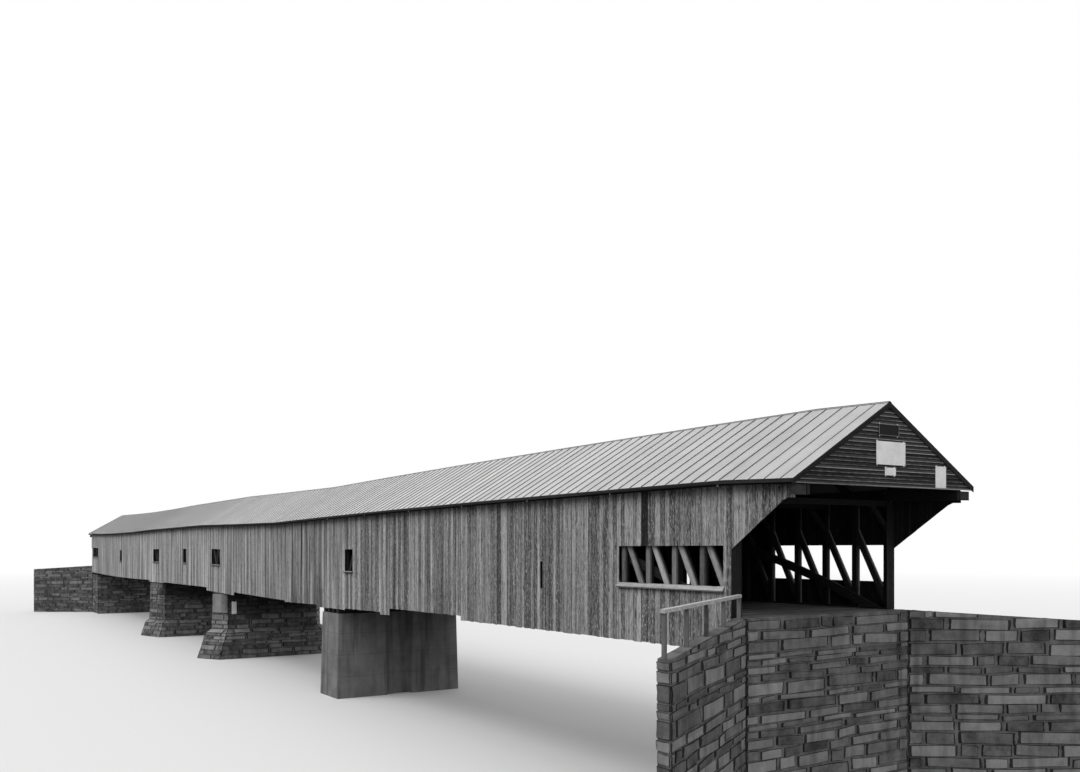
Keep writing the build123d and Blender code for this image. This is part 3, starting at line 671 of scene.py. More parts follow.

# Timbers of the floor, trusses and roof frame: old sawn softwood, browned, and near black with painted shade where they
# stand under cover.
# Each stick's grain runs along it, and a stick differs from the next in tone.
# The posts and braces in the near opening are weathered pale on their outer side. Their inner side, and all posts and
# braces beyond the opening, are near black with painted shade.


def grain_group():
    """Colour, roughness and height of bare wood, its vector stretched so that the grain runs along z."""
    group, given, result = new_group("wood grain", "ShaderNodeTree", {
        "Vector": "Vector", "Tone": 0.5, "Light": grey(0.4), "Dark": grey(0.1), "Fibre Scale": 340.0,
        "Streak Scale": 60.0, "Contrast": 1.0}, surface)
    fibres = cloud(group, given["Vector"], given["Fibre Scale"], 5.0, 0.65, (1, 1, 0.022))
    streaks = cloud(group, given["Vector"], given["Streak Scale"], 4.0, 0.6, (1, 1, 0.05))
    flecks = cloud(group, given["Vector"], 150.0, 3.0, stretch=(1, 1, 0.35))
    level = reckon(group, "MULTIPLY_ADD", streaks, 1.3, reckon(group, "MULTIPLY_ADD", fibres, 0.9, -0.45))
    level = reckon(group, "ADD", level, reckon(group, "MULTIPLY_ADD", given["Tone"], 0.7, -0.35))
    level = reckon(group, "ADD", level, reckon(group, "MULTIPLY_ADD", flecks, 0.9, -0.6))
    centred = reckon(group, "SUBTRACT", level, 0.5)
    level = reckon(group, "MULTIPLY_ADD", centred, given["Contrast"], 0.5, use_clamp=True)
    join(group, result, {
        "Color": blend(group, level, given["Dark"], given["Light"]),
        "Roughness": ramp(group, level, 0.0, 1.0, 0.92, 0.78),
        "Height": reckon(group, "ADD", fibres, streaks)})
    return group


grain = grain_group()


def wood(name, turn, light, dark, tone=None, bump=0.35, start=(0, 0, 0), **marks):
    """Wood whose grain runs along z once Object coordinates are turned."""
    marks = {label.replace("_", " ").title(): value for label, value in marks.items()}
    return finish(name, grain, light, dark, marks, bump, 0.0008, 0.15, turn, tone, start)


right_angle, uncut = math.pi / 2, 9
upright = (0, 0, 0)
lengthwise = (0, right_angle, 0)
crosswise = (right_angle, 0, 0)
post_places = [sum(p.x for p in points) / len(points) for points in solids_of("south_posts")]
panel = (post_places[0] - post_places[-1]) / (len(post_places) - 1)
near_sill_end = min(p.x for p in solids_of("window_sills")[0])
brace_lean = 0.52
inner_face, outer_face = 0.35, 0.3595
opening_edge = (near_sill_end - 0.04, near_sill_end)
post_wood = wood("post_wood", upright, 0.24, 0.06, (panel, 0.3, uncut), contrast=0.9)
brace_wood = wood(
    "brace_wood", (0, brace_lean, 0), 0.5, 0.16, (panel, 0.3, uncut), start=(post_places[0], 0, 0), contrast=0.9)
for material in (post_wood, brace_wood):
    tree = material.node_tree
    place = parts_of(tree, object_place(tree))
    painted_inner_shade = ramp(tree, reckon(tree, "ABSOLUTE", place["Y"]), inner_face, outer_face, 0.05, 1.0)
    painted_shade_beyond_opening = ramp(tree, place["X"], *opening_edge, 0.1, 1.0)
    shaded(material, reckon(tree, "MINIMUM", painted_inner_shade, painted_shade_beyond_opening))
# These three timbers are coloured near black, a painted shade.
long_wood_painted_shade, cross_wood_painted_shade, rafter_wood_painted_shade = [
    wood(name, turn, 0.024, 0.006, spacing, contrast=0.9) for name, turn, spacing in (
        ("long_wood_painted_shade", lengthwise, (0.9, 0.012, uncut)), ("cross_wood_painted_shade", crosswise, (panel, uncut, uncut)),
        ("rafter_wood_painted_shade", crosswise, (panel * 1.5, 0.4, uncut)))]
for side in ("south", "north"):
    dress(post_wood, side + "_posts")
    dress(brace_wood, side + "_braces")
    dress(long_wood_painted_shade, side + "_lower_chord", side + "_wall_plate", side + "_arches")
dress(long_wood_painted_shade, "bolsters", "stringers")
dress(cross_wood_painted_shade, "bearing_timbers", "floor_beams", "tie_beams", "knee_braces", "gable_girts")
dress(rafter_wood_painted_shade, "rafters")

# Deck, planks of sawn softwood laid across the stringers and spiked down.
# They are paler near the portals and darker farther in.


def eave_line():
    """Heights of the eave along the roof, which follow the line of the worn deck."""
    points = merged_copy("south_roof")
    outer = min(v.co.y for v in points.verts)
    line = {}
    for vertex in points.verts:
        if vertex.co.y < outer + same_place:
            x = round(vertex.co.x, 5)
            line[x] = max(line.get(x, -9), vertex.co.z)
    points.free()
    return sorted(line.items(), reverse=True)


eave_above_deck = 0.41
deck_line = [(x, z - eave_above_deck) for x, z in eave_line()]


def deck_z(x):
    """Height of the deck line at a place along the bridge."""
    for (x_a, z_a), (x_b, z_b) in zip(deck_line, deck_line[1:]):
        if x >= x_b:
            return z_a + (z_b - z_a) * (x_a - x) / (x_a - x_b)
    return deck_line[-1][1]


def board_tree():
    """Gives flat board outlines their thickness, backwards from the face, and bends each one a little."""
    group, given, result = new_group("boards", "GeometryNodeTree", {
        "Geometry": "Geometry", "Thickness": 0.002, "Warp": (0, 0.0006, 0), "Warp Scale": (30, 30, 4),
        "Board": "Material"}, {"Geometry": "Geometry"})
    faces = add(group, "GeometryNodeFlipFaces", {"Mesh": given["Geometry"]})
    thick = add(group, "GeometryNodeExtrudeMesh", {
        "Mesh": faces, "Offset Scale": given["Thickness"], "Individual": False}, mode="FACES").outputs
    backs = keep_value(group, thick["Mesh"], "inside", thick["Top"])
    board = welded(group, 2e-6, backs.outputs[0], given["Geometry"])
    spread = add(group, "ShaderNodeVectorMath", {
        0: add(group, "GeometryNodeInputPosition"), 1: given["Warp Scale"]}, operation="MULTIPLY")
    centred = reckon(group, "SUBTRACT", cloud(group, spread, 1.0, 1.0), 0.5)
    shift = add(group, "ShaderNodeVectorMath", {0: given["Warp"], "Scale": centred}, operation="SCALE")
    bent = add(group, "GeometryNodeSetPosition", {"Geometry": board, "Offset": shift})
    return end_tree(group, result, bent, given["Board"])


boards = board_tree()
deck_low, deck_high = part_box("deck")
plank_width, plank_gap, deck_thickness = 0.0262, 0.0005, 0.008
plank_drop, plank_short = 0.0004, 0.004
darker_inward_from, darker_inward_to = 0.9, 0.1
chance = random.Random(41)
planks = []
edge = deck_high.x
while edge > deck_low.x + same_place:
    stop = max(deck_low.x, edge - plank_width * chance.uniform(0.85, 1.15))
    if stop - deck_low.x < plank_width / 2:
        stop = deck_low.x
    near, far = edge - plank_gap / 2, stop + plank_gap / 2
    drop = chance.uniform(0, plank_drop)
    south, north = deck_low.y + chance.uniform(0, plank_short), deck_high.y - chance.uniform(0, plank_short)
    outline = [Vector((x, y, deck_z(x) - drop)) for x, y in ((far, south), (near, south), (near, north), (far, north))]
    planks.append((outline, chance.random()))
    edge = stop
deck_wood = wood("deck_wood", crosswise, 0.15, 0.05, "tone")
tree = deck_wood.node_tree
from_middle = reckon(tree, "ABSOLUTE", parts_of(tree, object_place(tree))["X"])
shaded(deck_wood, ramp(tree, from_middle, deck_high.x - darker_inward_from, deck_high.x - darker_inward_to, 0.3, 1.0))
deck = grow("deck_planks", outlines_mesh("deck_planks", planks), boards, {
    "Thickness": deck_thickness, "Warp": (0, 0, 0.0003), "Warp Scale": (4, 6, 4), "Board": deck_wood})
seat(deck, "deck")

# Boards of the side walls, rough sawn, nailed upright to the trusses and never painted.
# Widths differ, edges have shrunk apart, some boards stand proud, and the lower ends are uneven.
# Their skin is flecked and cracked and their edges weathered. Under the sills it has drip stains, under the eave
# painted eave shadow, at the gaps between boards painted shade, and on the inner face painted shade, near black.

board_width = (0.017, 0.029)
board_thickness = 0.0022
board_tone = (0.05, 0.95)
board_gaps = (0.0003, 0.0004, 0.0005, 0.0007)
board_proud = (0, 0, 0, 0.0003, 0.0006, 0.0012)
board_inset = 0.0004
board_step = 0.09
uneven_foot = 0.0015
# One board of the south wall, above the deck, is made much darker than the others.
dark_board_tone = -1.0
newer_boards_end = 2.55
stained_middle = 1.9
eave_foot = 0.396

wall_wood = wood("wall_wood", upright, 0.4, 0.07, "tone", 0.5, contrast=1.3, streak_scale=125.0)
tree = wall_wood.node_tree
place = object_place(tree)
along = parts_of(tree, place)["X"]


def drip_stains_and_eave_shade(attribute, scale, reach_low, reach_high, darkest):
    """Darkening that runs down from an edge, each streak to its own reach: painted eave shadow under the eave, drip
    stains under the sills.
    """
    drip = cloud(tree, place, 1.0, 4.0, stretch=(scale, scale, 3))
    ratio = reckon(tree, "DIVIDE", kept_value(tree, attribute), ramp(tree, drip, 0.35, 0.7, reach_low, reach_high))
    return ramp(tree, ratio, 0.25, 1.6, darkest, 1.0)


old_end = ramp(tree, along, newer_boards_end - 0.01, newer_boards_end, 0.25, 1.0)
newer = ramp(tree, along, newer_boards_end - 0.01, newer_boards_end, 0.45, 0.0)
flecks = ramp(tree, cloud(tree, place, 1.0, 3.0, stretch=(420, 420, 75)), 0.56, 0.66, 0.0, 0.8)
cracks = ramp(tree, cloud(tree, place, 1.0, 2.0, stretch=(310, 310, 26)), 0.34, 0.44, 0.35, 1.0)
streaks = ramp(tree, cloud(tree, place, 1.0, 3.0, stretch=(24, 0, 1.1)), 0.37, 0.63, 0.48, 1.45)
black_runs = ramp(tree, cloud(tree, place, 1.0, 2.0, stretch=(52, 0, 1.6)), 0.43, 0.5, 0.2, 1.0)
from_stain = reckon(tree, "ABSOLUTE", reckon(tree, "SUBTRACT", along, stained_middle))
streaked = blend(tree, ramp(tree, along, 2.5, 5.0, 1.0, 0.3), 1.0, streaks, "FLOAT")
stained = blend(tree, ramp(tree, from_stain, 0.1, 0.75, 0.8, 0.0), 1.0, black_runs, "FLOAT")
by_place = blend(tree, old_end, ramp(tree, along, -1.0, 1.2, 1.22, 0.9), 1.0, "FLOAT")
skin = tree.nodes["Principled BSDF"].inputs["Base Color"]
flecked = blend(tree, product(tree, flecks, old_end), skin.links[0].from_socket, grey(0.54))
tree.links.new(blend(tree, newer, flecked, grey(0.46)), skin)
# Each board darkens near its edges: weathered arrises, and painted shade in the gaps between boards.
from_edge = reckon(tree, "PINGPONG", kept_value(tree, "across"), 0.5)
# Painted eave shadow and the drip stains of the sills run down the boards; the inner faces are near black with painted
# shade.
shaded(wall_wood, product(
    tree, drip_stains_and_eave_shade("below_eave", 60, 0.005, 0.05, 0.62), drip_stains_and_eave_shade("below_sill", 190, 0.001, 0.03, 0.3),
    ramp(tree, from_edge, 0.0, 0.06, 0.25, 1.0), cracks,
    ramp(tree, kept_value(tree, "tone"), dark_board_tone, 0.0, 0.2, 1.0), streaked, stained, by_place,
    ramp(tree, kept_value(tree, "inside"), 0.0, 1.0, 1.0, 0.035)))
nail_rows = (-0.0125, 0.376, 0.388)
nail_margin, nail_scatter = 0.004, 0.001
slimmest_board, sill_margin = 0.004, 0.002


def panel_lines(points):
    """Lower and upper edge of one boarded panel, as places along the wall with heights."""
    heights = {}
    for p in points:
        heights.setdefault(round(p.x, 5), set()).add(round(p.z, 5))
    top = sorted((x, max(z)) for x, z in heights.items() if len(z) > 1)
    low = sorted((x, min(z)) for x, z in heights.items())
    return low, top


def height_on(line, x):
    for (x_a, z_a), (x_b, z_b) in zip(line, line[1:]):
        if x <= x_b:
            return z_a + (z_b - z_a) * (x - x_a) / (x_b - x_a)
    return line[-1][1]


def board_cuts(x_near, x_far, chance):
    """Edges of the boards of a whole wall, which the panels over and under a window share."""
    cuts = [x_near]
    while cuts[-1] > x_far + board_width[1]:
        cuts.append(cuts[-1] - chance.uniform(*board_width))
    return cuts + [x_far]


def wall_outlines(node, cuts, side, face_y, chance, nails, dark=None):
    """Outline and tone of each board of a wall's panels, and the places of its nails."""
    found = []
    looks = {cut: (chance.uniform(*board_tone), chance.choice(board_proud)) for cut in cuts}
    for points in solids_of(node):
        if points[0].y * side < 0:
            continue
        low, top = panel_lines(points)
        x_low, x_high = low[0][0], low[-1][0]
        edges = [x_high] + [c for c in cuts if x_low + slimmest_board < c < x_high - slimmest_board] + [x_low]
        for a, b in zip(edges, edges[1:]):
            middle = (a + b) / 2
            foot_above_deck = height_on(low, middle) - deck_z(middle)
            tone, proud = looks[min((c for c in cuts if c >= middle), default=cuts[0])]
            if dark and dark[0] < middle < dark[1] and foot_above_deck > 0:
                tone, proud = dark_board_tone, 0
            gap = chance.choice(board_gaps)
            near, far = a - gap / 2, b + gap / 2
            uneven = chance.uniform(-uneven_foot, uneven_foot) if foot_above_deck < 0 else 0
            y = face_y + side * (proud - board_inset)
            steps = max(1, round((height_on(top, middle) - height_on(low, middle)) / board_step))
            for step in range(steps):
                quad = []
                for x, share in ((far, step), (near, step), (near, step + 1), (far, step + 1)):
                    foot = height_on(low, x) + uneven
                    quad.append(Vector((x, y, foot + (height_on(top, x) - foot) * share / steps)))
                if side > 0:
                    quad.reverse()
                found.append((quad, tone))
            for row in nail_rows:
                for x in (near * 0.75 + far * 0.25, near * 0.25 + far * 0.75):
                    z = deck_z(x) + row + chance.uniform(-nail_scatter, nail_scatter)
                    if height_on(low, x) + nail_margin < z < height_on(top, x) - nail_margin:
                        nails.append(Vector((x, y, z)))
    return found


sill_feet = []
for points in solids_of("window_sills"):
    xs, zs = [p.x for p in points], [p.z for p in points]
    sill_feet.append((min(xs), max(xs), min(zs), max(zs), points[0].y))


def below_sill(x, y, z):
    """Depth of a point below the sill that it hangs under, or one where no sill is above it."""
    for low_x, high_x, foot_z, top_z, sill_y in sill_feet:
        if low_x < x < high_x and y * sill_y > 0 and z <= top_z + sill_margin:
            return max(0.0, foot_z - z)
    return 1.0


def boarded(name, found, replaced):
    """Boards grown from their outlines, each with its tone, its edges and its depth below the eave and the sill."""
    mesh = outlines_mesh(name, found)

    def keep(label, values):
        mesh.attributes.new(label, "FLOAT", "POINT").data.foreach_set("value", values)

    keep("across", (0, 1, 1, 0) * len(found))
    shape = bmesh.new()
    shape.from_mesh(mesh)
    bmesh.ops.remove_doubles(shape, verts=shape.verts, dist=hair)
    shape.to_mesh(mesh)
    shape.free()
    keep("below_eave", [deck_z(v.co.x) + eave_foot - v.co.z for v in mesh.vertices])
    keep("below_sill", [below_sill(*v.co) for v in mesh.vertices])
    piece = grow(name, mesh, boards, {
        "Thickness": board_thickness, "Warp": (0, 0.0009, 0), "Warp Scale": (55, 1, 7), "Board": wall_wood})
    seat(piece, replaced)


far_end, near_end = [corner.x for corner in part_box("south_siding")]
dark_board = (near_end - 0.430, near_end - 0.396)
dark_board_room = 0.012
board_nails = []
for side_name, side, seed in (("south", -1, 51), ("north", 1, 52)):
    chance = random.Random(seed)
    node = side_name + "_siding"
    face_y = side * max(abs(corner.y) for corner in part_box(node))
    cuts = board_cuts(near_end, far_end, chance)
    if side < 0:
        room = dark_board[0] - dark_board_room, dark_board[1] + dark_board_room
        cuts = sorted([c for c in cuts if not room[0] < c < room[1]] + list(dark_board), reverse=True)
    found = wall_outlines(node, cuts, side, face_y, chance, board_nails, dark_board if side < 0 else None)
    boarded(side_name + "_wall_boards", found, node)

# Boards of the portal wings, the same upright boards under the overhang of the roof.
# Their lower ends are sawn to one slope that runs up and out from the portal.

for end, seed in (("near", 53), ("far", 54)):
    found = []
    low_corner, high_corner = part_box(end + "_portal_wings")
    for side in (-1, 1):
        chance = random.Random(seed + side)
        cuts = board_cuts(high_corner.x, low_corner.x, chance)
        found += wall_outlines(end + "_portal_wings", cuts, side, side * high_corner.y, chance, board_nails)
    boarded(end + "_portal_boards", found, end + "_portal_wings")

# Nails of the boards, cut iron heads in pairs at the chord and at the plate.
# They stand just proud of the wood and have rusted dark.


def stud_tree():
    """A low round or square head set at each point, all turned one way."""
    group, given, result = new_group("studs", "GeometryNodeTree", {
        "Geometry": "Geometry", "Sides": 6, "Head Radius": 0.0007, "Head Height": 0.0006, "Turn": (0, 0, 0),
        "Iron": "Material"}, {"Geometry": "Geometry"})
    head = add(group, "GeometryNodeMeshCone", {
        "Vertices": given["Sides"], "Radius Bottom": given["Head Radius"], "Depth": given["Head Height"],
        "Radius Top": reckon(group, "MULTIPLY", given["Head Radius"], 0.6)})
    heads = add(group, "GeometryNodeInstanceOnPoints", {
        "Points": given["Geometry"], "Instance": head, "Rotation": given["Turn"]})
    return end_tree(group, result, heads, given["Iron"])


studs = stud_tree()
rusted_iron = finish("rusted_iron", mineral, 0.09, 0.02, {"Blotch Scale": 90.0, "Stain": 0.0}, 0.4, 0.0003)
nail_radius, nail_height = 0.00075, 0.0006
side_turns = {-1: (right_angle, 0, 0), 1: (-right_angle, 0, 0)}


def studded(name, points, turn, sides, radius, height):
    """One piece of like heads at a list of places."""
    mesh = bpy.data.meshes.new(name)
    mesh.from_pydata([tuple(p) for p in points], [], [])
    seat(grow(name, mesh, studs, {
        "Sides": sides, "Head Radius": radius, "Head Height": height, "Turn": turn, "Iron": rusted_iron}))


for side_name, side in (("south", -1), ("north", 1)):
    points = [p for p in board_nails if p.y * side > 0]
    studded(side_name + "_board_nails", points, side_turns[side], 6, nail_radius, nail_height)

# Bolts of the trusses, iron rods with a square nut on the inner face of each truss.
# They clamp the chord sticks, the wall plates and the arches to the posts.

bolts = {-1: [], 1: []}
stick_face = min(abs(p.y) for points in solids_of("south_lower_chord") for p in points)
nut_radius, nut_height, nut_inset = 0.0026, 0.0014, 0.0006
stick_bolts = ((-0.005, -0.021), (0.005, -0.007), (-0.005, 0.376), (0.005, 0.392))
arch_depth, arch_bolts = 0.03, ((-0.004, 0.35), (0.004, 0.65))


def bolt_on(x, z):
    """A bolt at the same place of both trusses."""
    for side in bolts:
        bolts[side].append(Vector((x, side * (stick_face - nut_inset), z)))


for x in post_places:
    for shift, rise in stick_bolts:
        bolt_on(x + shift, deck_z(x) + rise)
for points in solids_of("south_arches"):
    near_x, far_x = max(p.x for p in points), min(p.x for p in points)
    middle, half = (near_x + far_x) / 2, (near_x - far_x) / 2
    foot = min(p.z - deck_z(p.x) for p in points)
    rise = max(p.z - deck_z(p.x) for p in points) - foot
    radius = (half ** 2 + rise ** 2) / (2 * rise)
    for x in post_places:
        if abs(x - middle) > half - arch_depth * 2:
            continue
        back = foot + rise - radius + math.sqrt(radius ** 2 - (x - middle) ** 2)
        for shift, share in arch_bolts:
            bolt_on(x + shift, deck_z(x) + back - arch_depth * share)
for side_name, side in (("south", -1), ("north", 1)):
    studded(side_name + "_truss_bolts", bolts[side], side_turns[-side], 4, nut_radius, nut_height)

# Sills, portal casings, boxed plate ends and the approach rail, all of planed boards nailed on.
# The sills and the rail are bare and worn pale. The nosing of the sills is made darker than their sloped top, by the
# way each face points.
# The casings and the boxes are painted dark, as the gable is.

sill_wood = wood("sill_wood", lengthwise, 0.46, 0.17, (0.9, uncut, uncut))
tree = sill_wood.node_tree
facing = parts_of(tree, add(tree, "ShaderNodeNewGeometry").outputs["True Normal"])
shaded(sill_wood, ramp(tree, facing["Z"], 0.1, 0.3, 0.35, 1.0))
rail_slope = 1.0036
dress(sill_wood, "window_sills")
dress(wood("box_wood", lengthwise, 0.045, 0.012, (0.9, uncut, uncut)), "plate_end_boxes")
dress(wood("casing_wood", upright, 0.022, 0.006, (uncut, 0.3, uncut)), "portal_casings")
dress(wood("rail_wood", (0, right_angle, rail_slope), 0.62, 0.26), "approach_rail")
dress(wood("rail_post_wood", upright, 0.16, 0.04, (0.1, 0.1, uncut)), "approach_rail_posts")

# Roof, sheet metal in long pans from eave to ridge over boards and rafters.
# The pans have weathered to a dull grey that changes a little from pan to pan. Underneath, the boards show, coloured
# near black as painted shade.
# Along the top of the ridge cap runs a dark line of painted shade.

seam_spacing = 0.0616
ridge_shade_half_width = 0.006
roof_metal, tree, shader = new_material("roof_metal")
place = object_place(tree)
parts = parts_of(tree, place)
pan_number = reckon(tree, "FLOOR", reckon(tree, "DIVIDE", parts["X"], seam_spacing))
pan_tone = add(tree, "ShaderNodeTexWhiteNoise", {"W": pan_number}, noise_dimensions="1D").outputs["Value"]
bloom = cloud(tree, place, 9.0, 6.0, 0.6)
spangle = cloud(tree, place, 240.0, 2.0)
tone = reckon(tree, "MULTIPLY_ADD", spangle, 0.4, reckon(tree, "MULTIPLY_ADD", pan_tone, 0.35, bloom))
metal = product(tree, ramp(tree, tone, 0.5, 1.25, 0.37, 0.52), ramp(tree, parts["X"], 4.0, 5.6, 1.12, 0.93))
ridge_painted_shade = reckon(tree, "LESS_THAN", reckon(tree, "ABSOLUTE", parts["Y"]), ridge_shade_half_width)
metal = blend(tree, ridge_painted_shade, metal, 0.05, "FLOAT")
facing = parts_of(tree, add(tree, "ShaderNodeNewGeometry").outputs["True Normal"])
above = reckon(tree, "GREATER_THAN", facing["Z"], 0.0)
# The underside is near black wood, a painted shade.
under = add(tree, "ShaderNodeGroup", {
    "Light": grey(0.02), "Dark": grey(0.006), "Tone": 0.4,
    "Vector": add(tree, "ShaderNodeMapping", {"Vector": place, "Rotation": lengthwise})}, node_tree=grain)
waves = cloud(tree, place, 22.0, 1.0)
relief = add(tree, "ShaderNodeBump", {"Strength": 0.25, "Distance": 0.002, "Height": waves})
join(tree, shader, {
    "Base Color": blend(tree, above, under.outputs["Color"], metal),
    "Roughness": blend(tree, above, 1.0, ramp(tree, bloom, 0.0, 1.0, 0.5, 0.68), "FLOAT"),
    "Normal": relief.outputs[0]})
shader["Specular IOR Level"].default_value = 0.35
dress(roof_metal, "south_roof", "north_roof", "ridge_cap")

# Standing seams, where the edges of two pans are folded together and stand up.
# They run evenly spaced from the eave to the ridge cap, and are darker than the pans, a painted shade for the shadow
# beside each seam.


def seam_tree():
    """Ribs spaced along an eave line and leaned to the slope of the roof."""
    group, given, result = new_group("standing seams", "GeometryNodeTree", {
        "Geometry": "Geometry", "Spacing": 0.06, "Slope Run": 0.46, "Seam Width": 0.0026,
        "Seam Height": 0.0028, "Slope Angle": (0.5, 0, 0), "Metal": "Material"}, {"Geometry": "Geometry"})
    line = add(group, "GeometryNodeMeshToCurve", {"Mesh": given["Geometry"]})
    points = add(group, "GeometryNodeCurveToPoints", {"Curve": line, "Length": given["Spacing"]}, mode="LENGTH")
    size = add(group, "ShaderNodeCombineXYZ", {
        "X": given["Seam Width"], "Y": given["Slope Run"], "Z": given["Seam Height"]})
    rib = add(group, "GeometryNodeMeshCube", {"Size": size, "Vertices Y": 2})
    lift = add(group, "ShaderNodeCombineXYZ", {
        "Y": product(group, given["Slope Run"], 0.5), "Z": product(group, given["Seam Height"], 0.42)})
    placed = add(group, "GeometryNodeTransform", {"Geometry": rib, "Translation": lift})
    ribs = add(group, "GeometryNodeInstanceOnPoints", {
        "Points": points, "Instance": placed, "Rotation": given["Slope Angle"]})
    return end_tree(group, result, ribs, given["Metal"])


standing_seams = seam_tree()
seam_metal, tree, shader = new_material("seam_metal")
seam_painted_shade = ramp(tree, cloud(tree, object_place(tree), 60.0, 4.0), 0.0, 1.0, 0.03, 0.12)
tree.links.new(seam_painted_shade, shader["Base Color"])
shader["Roughness"].default_value = 0.6
shader["Specular IOR Level"].default_value = 0.3

eave_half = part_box("north_roof")[1].y
roof_rise, cap_reach, first_seam = 0.240, 0.010, 0.046
roof_angle = math.atan(roof_rise / eave_half)
seam_run = (eave_half - cap_reach) / math.cos(roof_angle)
for side_name, side in (("south", -1), ("north", 1)):
    line = [Vector((x, side * eave_half, z + eave_above_deck)) for x, z in deck_line]
    line[0].x -= first_seam
    path = bpy.data.meshes.new(side_name + "_eave_path")
    path.from_pydata([tuple(p) for p in line], [(k, k + 1) for k in range(len(line) - 1)], [])
    seat(grow(side_name + "_roof_seams", path, standing_seams, {
        "Spacing": seam_spacing, "Slope Run": -side * seam_run, "Slope Angle": (-side * roof_angle, 0, 0),
        "Metal": seam_metal}))

# Eave fascias and rake boards, sawn boards that close the edges of the roof.
# They are nailed to the ends of the rafters and painted dark, and the fascias are darker still with painted shade, the
# shadow line under the eave.

# The fascia wood is darkened with painted shade.
dress(wood("trim_wood", lengthwise, 0.03, 0.008, (0.7, uncut, uncut)), "eave_fascias")
dress(wood("rake_wood", crosswise, 0.022, 0.006, (uncut, 0.5, uncut)), "rake_boards")

# Gable clapboards, thin tapered boards lapped one over the next, nailed to the end rafters and stained dark.
# Their ends run under the rake boards.


def clapboard_tree():
    """Lapped courses up a gable, each cut to the width between the roof slopes."""
    group, given, result = new_group("clapboards", "GeometryNodeTree", {
        "Geometry": "Geometry", "Courses": 20, "Exposure": 0.0115, "Lap": 0.003, "Foot": 0.4, "Apex": 0.64,
        "Roof Slope": 0.59, "Half Width": 0.37, "Wall Place": 0.0, "Butt": 0.002, "Clapboard": "Material",
    }, {"Geometry": "Geometry"})

    def roof_half(z):
        """Half the width between the roof slopes at a height."""
        return reckon(group, "DIVIDE", reckon(group, "SUBTRACT", given["Apex"], z), given["Roof Slope"])

    start = add(group, "ShaderNodeCombineXYZ", {"X": given["Wall Place"], "Z": given["Foot"]})
    step = add(group, "ShaderNodeCombineXYZ", {"Z": given["Exposure"]})
    line = add(group, "GeometryNodeMeshLine", {
        "Count": given["Courses"], "Start Location": start, "Offset": step})
    foot_z = parts_of(group, add(group, "GeometryNodeInputPosition"))["Z"]
    half = reckon(group, "MAXIMUM", reckon(group, "MINIMUM", roof_half(foot_z), given["Half Width"]), 0.004)
    size = add(group, "ShaderNodeCombineXYZ", {
        "X": given["Butt"], "Y": product(group, half, 2.0),
        "Z": reckon(group, "ADD", given["Exposure"], given["Lap"])})
    laid = add(group, "GeometryNodeInstanceOnPoints", {
        "Points": line, "Instance": given["Geometry"], "Scale": size})
    tone = add(group, "FunctionNodeRandomValue", {"Seed": 7}, data_type="FLOAT").outputs[1]
    whole = add(group, "GeometryNodeRealizeInstances", {"Geometry": keep_value(group, laid, "tone", tone, "INSTANCE")})
    corner = parts_of(group, add(group, "GeometryNodeInputPosition"))
    limit = reckon(group, "MAXIMUM", roof_half(corner["Z"]), 0.001)
    cut = reckon(group, "MAXIMUM", reckon(group, "MINIMUM", corner["Y"], limit), product(group, limit, -1.0))
    mitre = add(group, "ShaderNodeCombineXYZ", {"X": corner["X"], "Y": cut, "Z": corner["Z"]})
    mitred = add(group, "GeometryNodeSetPosition", {"Geometry": whole, "Position": mitre})
    return end_tree(group, result, mitred, given["Clapboard"])


clapboards = clapboard_tree()
clapboard_half, clapboard_thin, exposure = 0.398, 0.45, 0.0115
top_room, foot_room = 0.006, 0.0005
clapboard_wood = wood("clapboard_wood", crosswise, 0.055, 0.01, "tone", 0.6, contrast=1.2)
tree = clapboard_wood.node_tree
lap = kept_value(tree, "lap")
# Each clapboard has a painted highlight along its butt and painted shadow near its top, under the butt of the next one.
shaded(clapboard_wood, product(tree, ramp(tree, lap, 0.08, 0.2, 6.5, 1.0), ramp(tree, lap, 0.5, 0.68, 1.0, 0.08)))


def gable_faces(end, out):
    """Box of a gable, and the places of its outer and its inner face."""
    low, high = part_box(end + "_gable")
    return low, high, *((high.x, low.x) if out > 0 else (low.x, high.x))


for end, out in (("near", 1), ("far", -1)):
    low_corner, high_corner, face_x, back_x = gable_faces(end, out)
    wedge = bpy.data.meshes.new(end + "_clapboard")
    points = [(x, y, z) for y in (-0.5, 0.5) for x, z in ((0, 0), (out, 0), (out * clapboard_thin, 1), (0, 1))]
    faces = [(0, 1, 2, 3), (7, 6, 5, 4), (1, 5, 6, 2), (4, 0, 3, 7), (3, 2, 6, 7), (4, 5, 1, 0)]
    wedge.from_pydata(points, [], [face[::out] for face in faces])
    wedge.attributes.new("lap", "FLOAT", "POINT").data.foreach_set("value", [0, 0, 1, 1, 0, 0, 1, 1])
    gable = grow(end + "_clapboards", wedge, clapboards, {
        "Courses": int((high_corner.z - low_corner.z - top_room) / exposure), "Exposure": exposure,
        "Foot": low_corner.z + foot_room, "Apex": high_corner.z, "Roof Slope": roof_rise / eave_half,
        "Half Width": clapboard_half, "Wall Place": back_x, "Butt": abs(face_x - back_x),
        "Clapboard": clapboard_wood})
    seat(gable, end + "_gable")

# Foot boards of the gables, thin bare strips in three lengths, end to end.
# They are nailed over the foot of the lowest clapboard.


def bevelled(shape, low, high, bevel=0.0003):
    """Adds to a bmesh a box between two corners with its edges taken off."""
    made = bmesh.ops.create_cube(shape, size=1.0)["verts"]
    for vertex in made:
        vertex.co = Vector(low[k] + (high[k] - low[k]) * (vertex.co[k] + 0.5) for k in range(3))
    edges = {edge for vertex in made for edge in vertex.link_edges}
    bmesh.ops.bevel(shape, geom=list(edges), offset=bevel, segments=1, affect="EDGES")


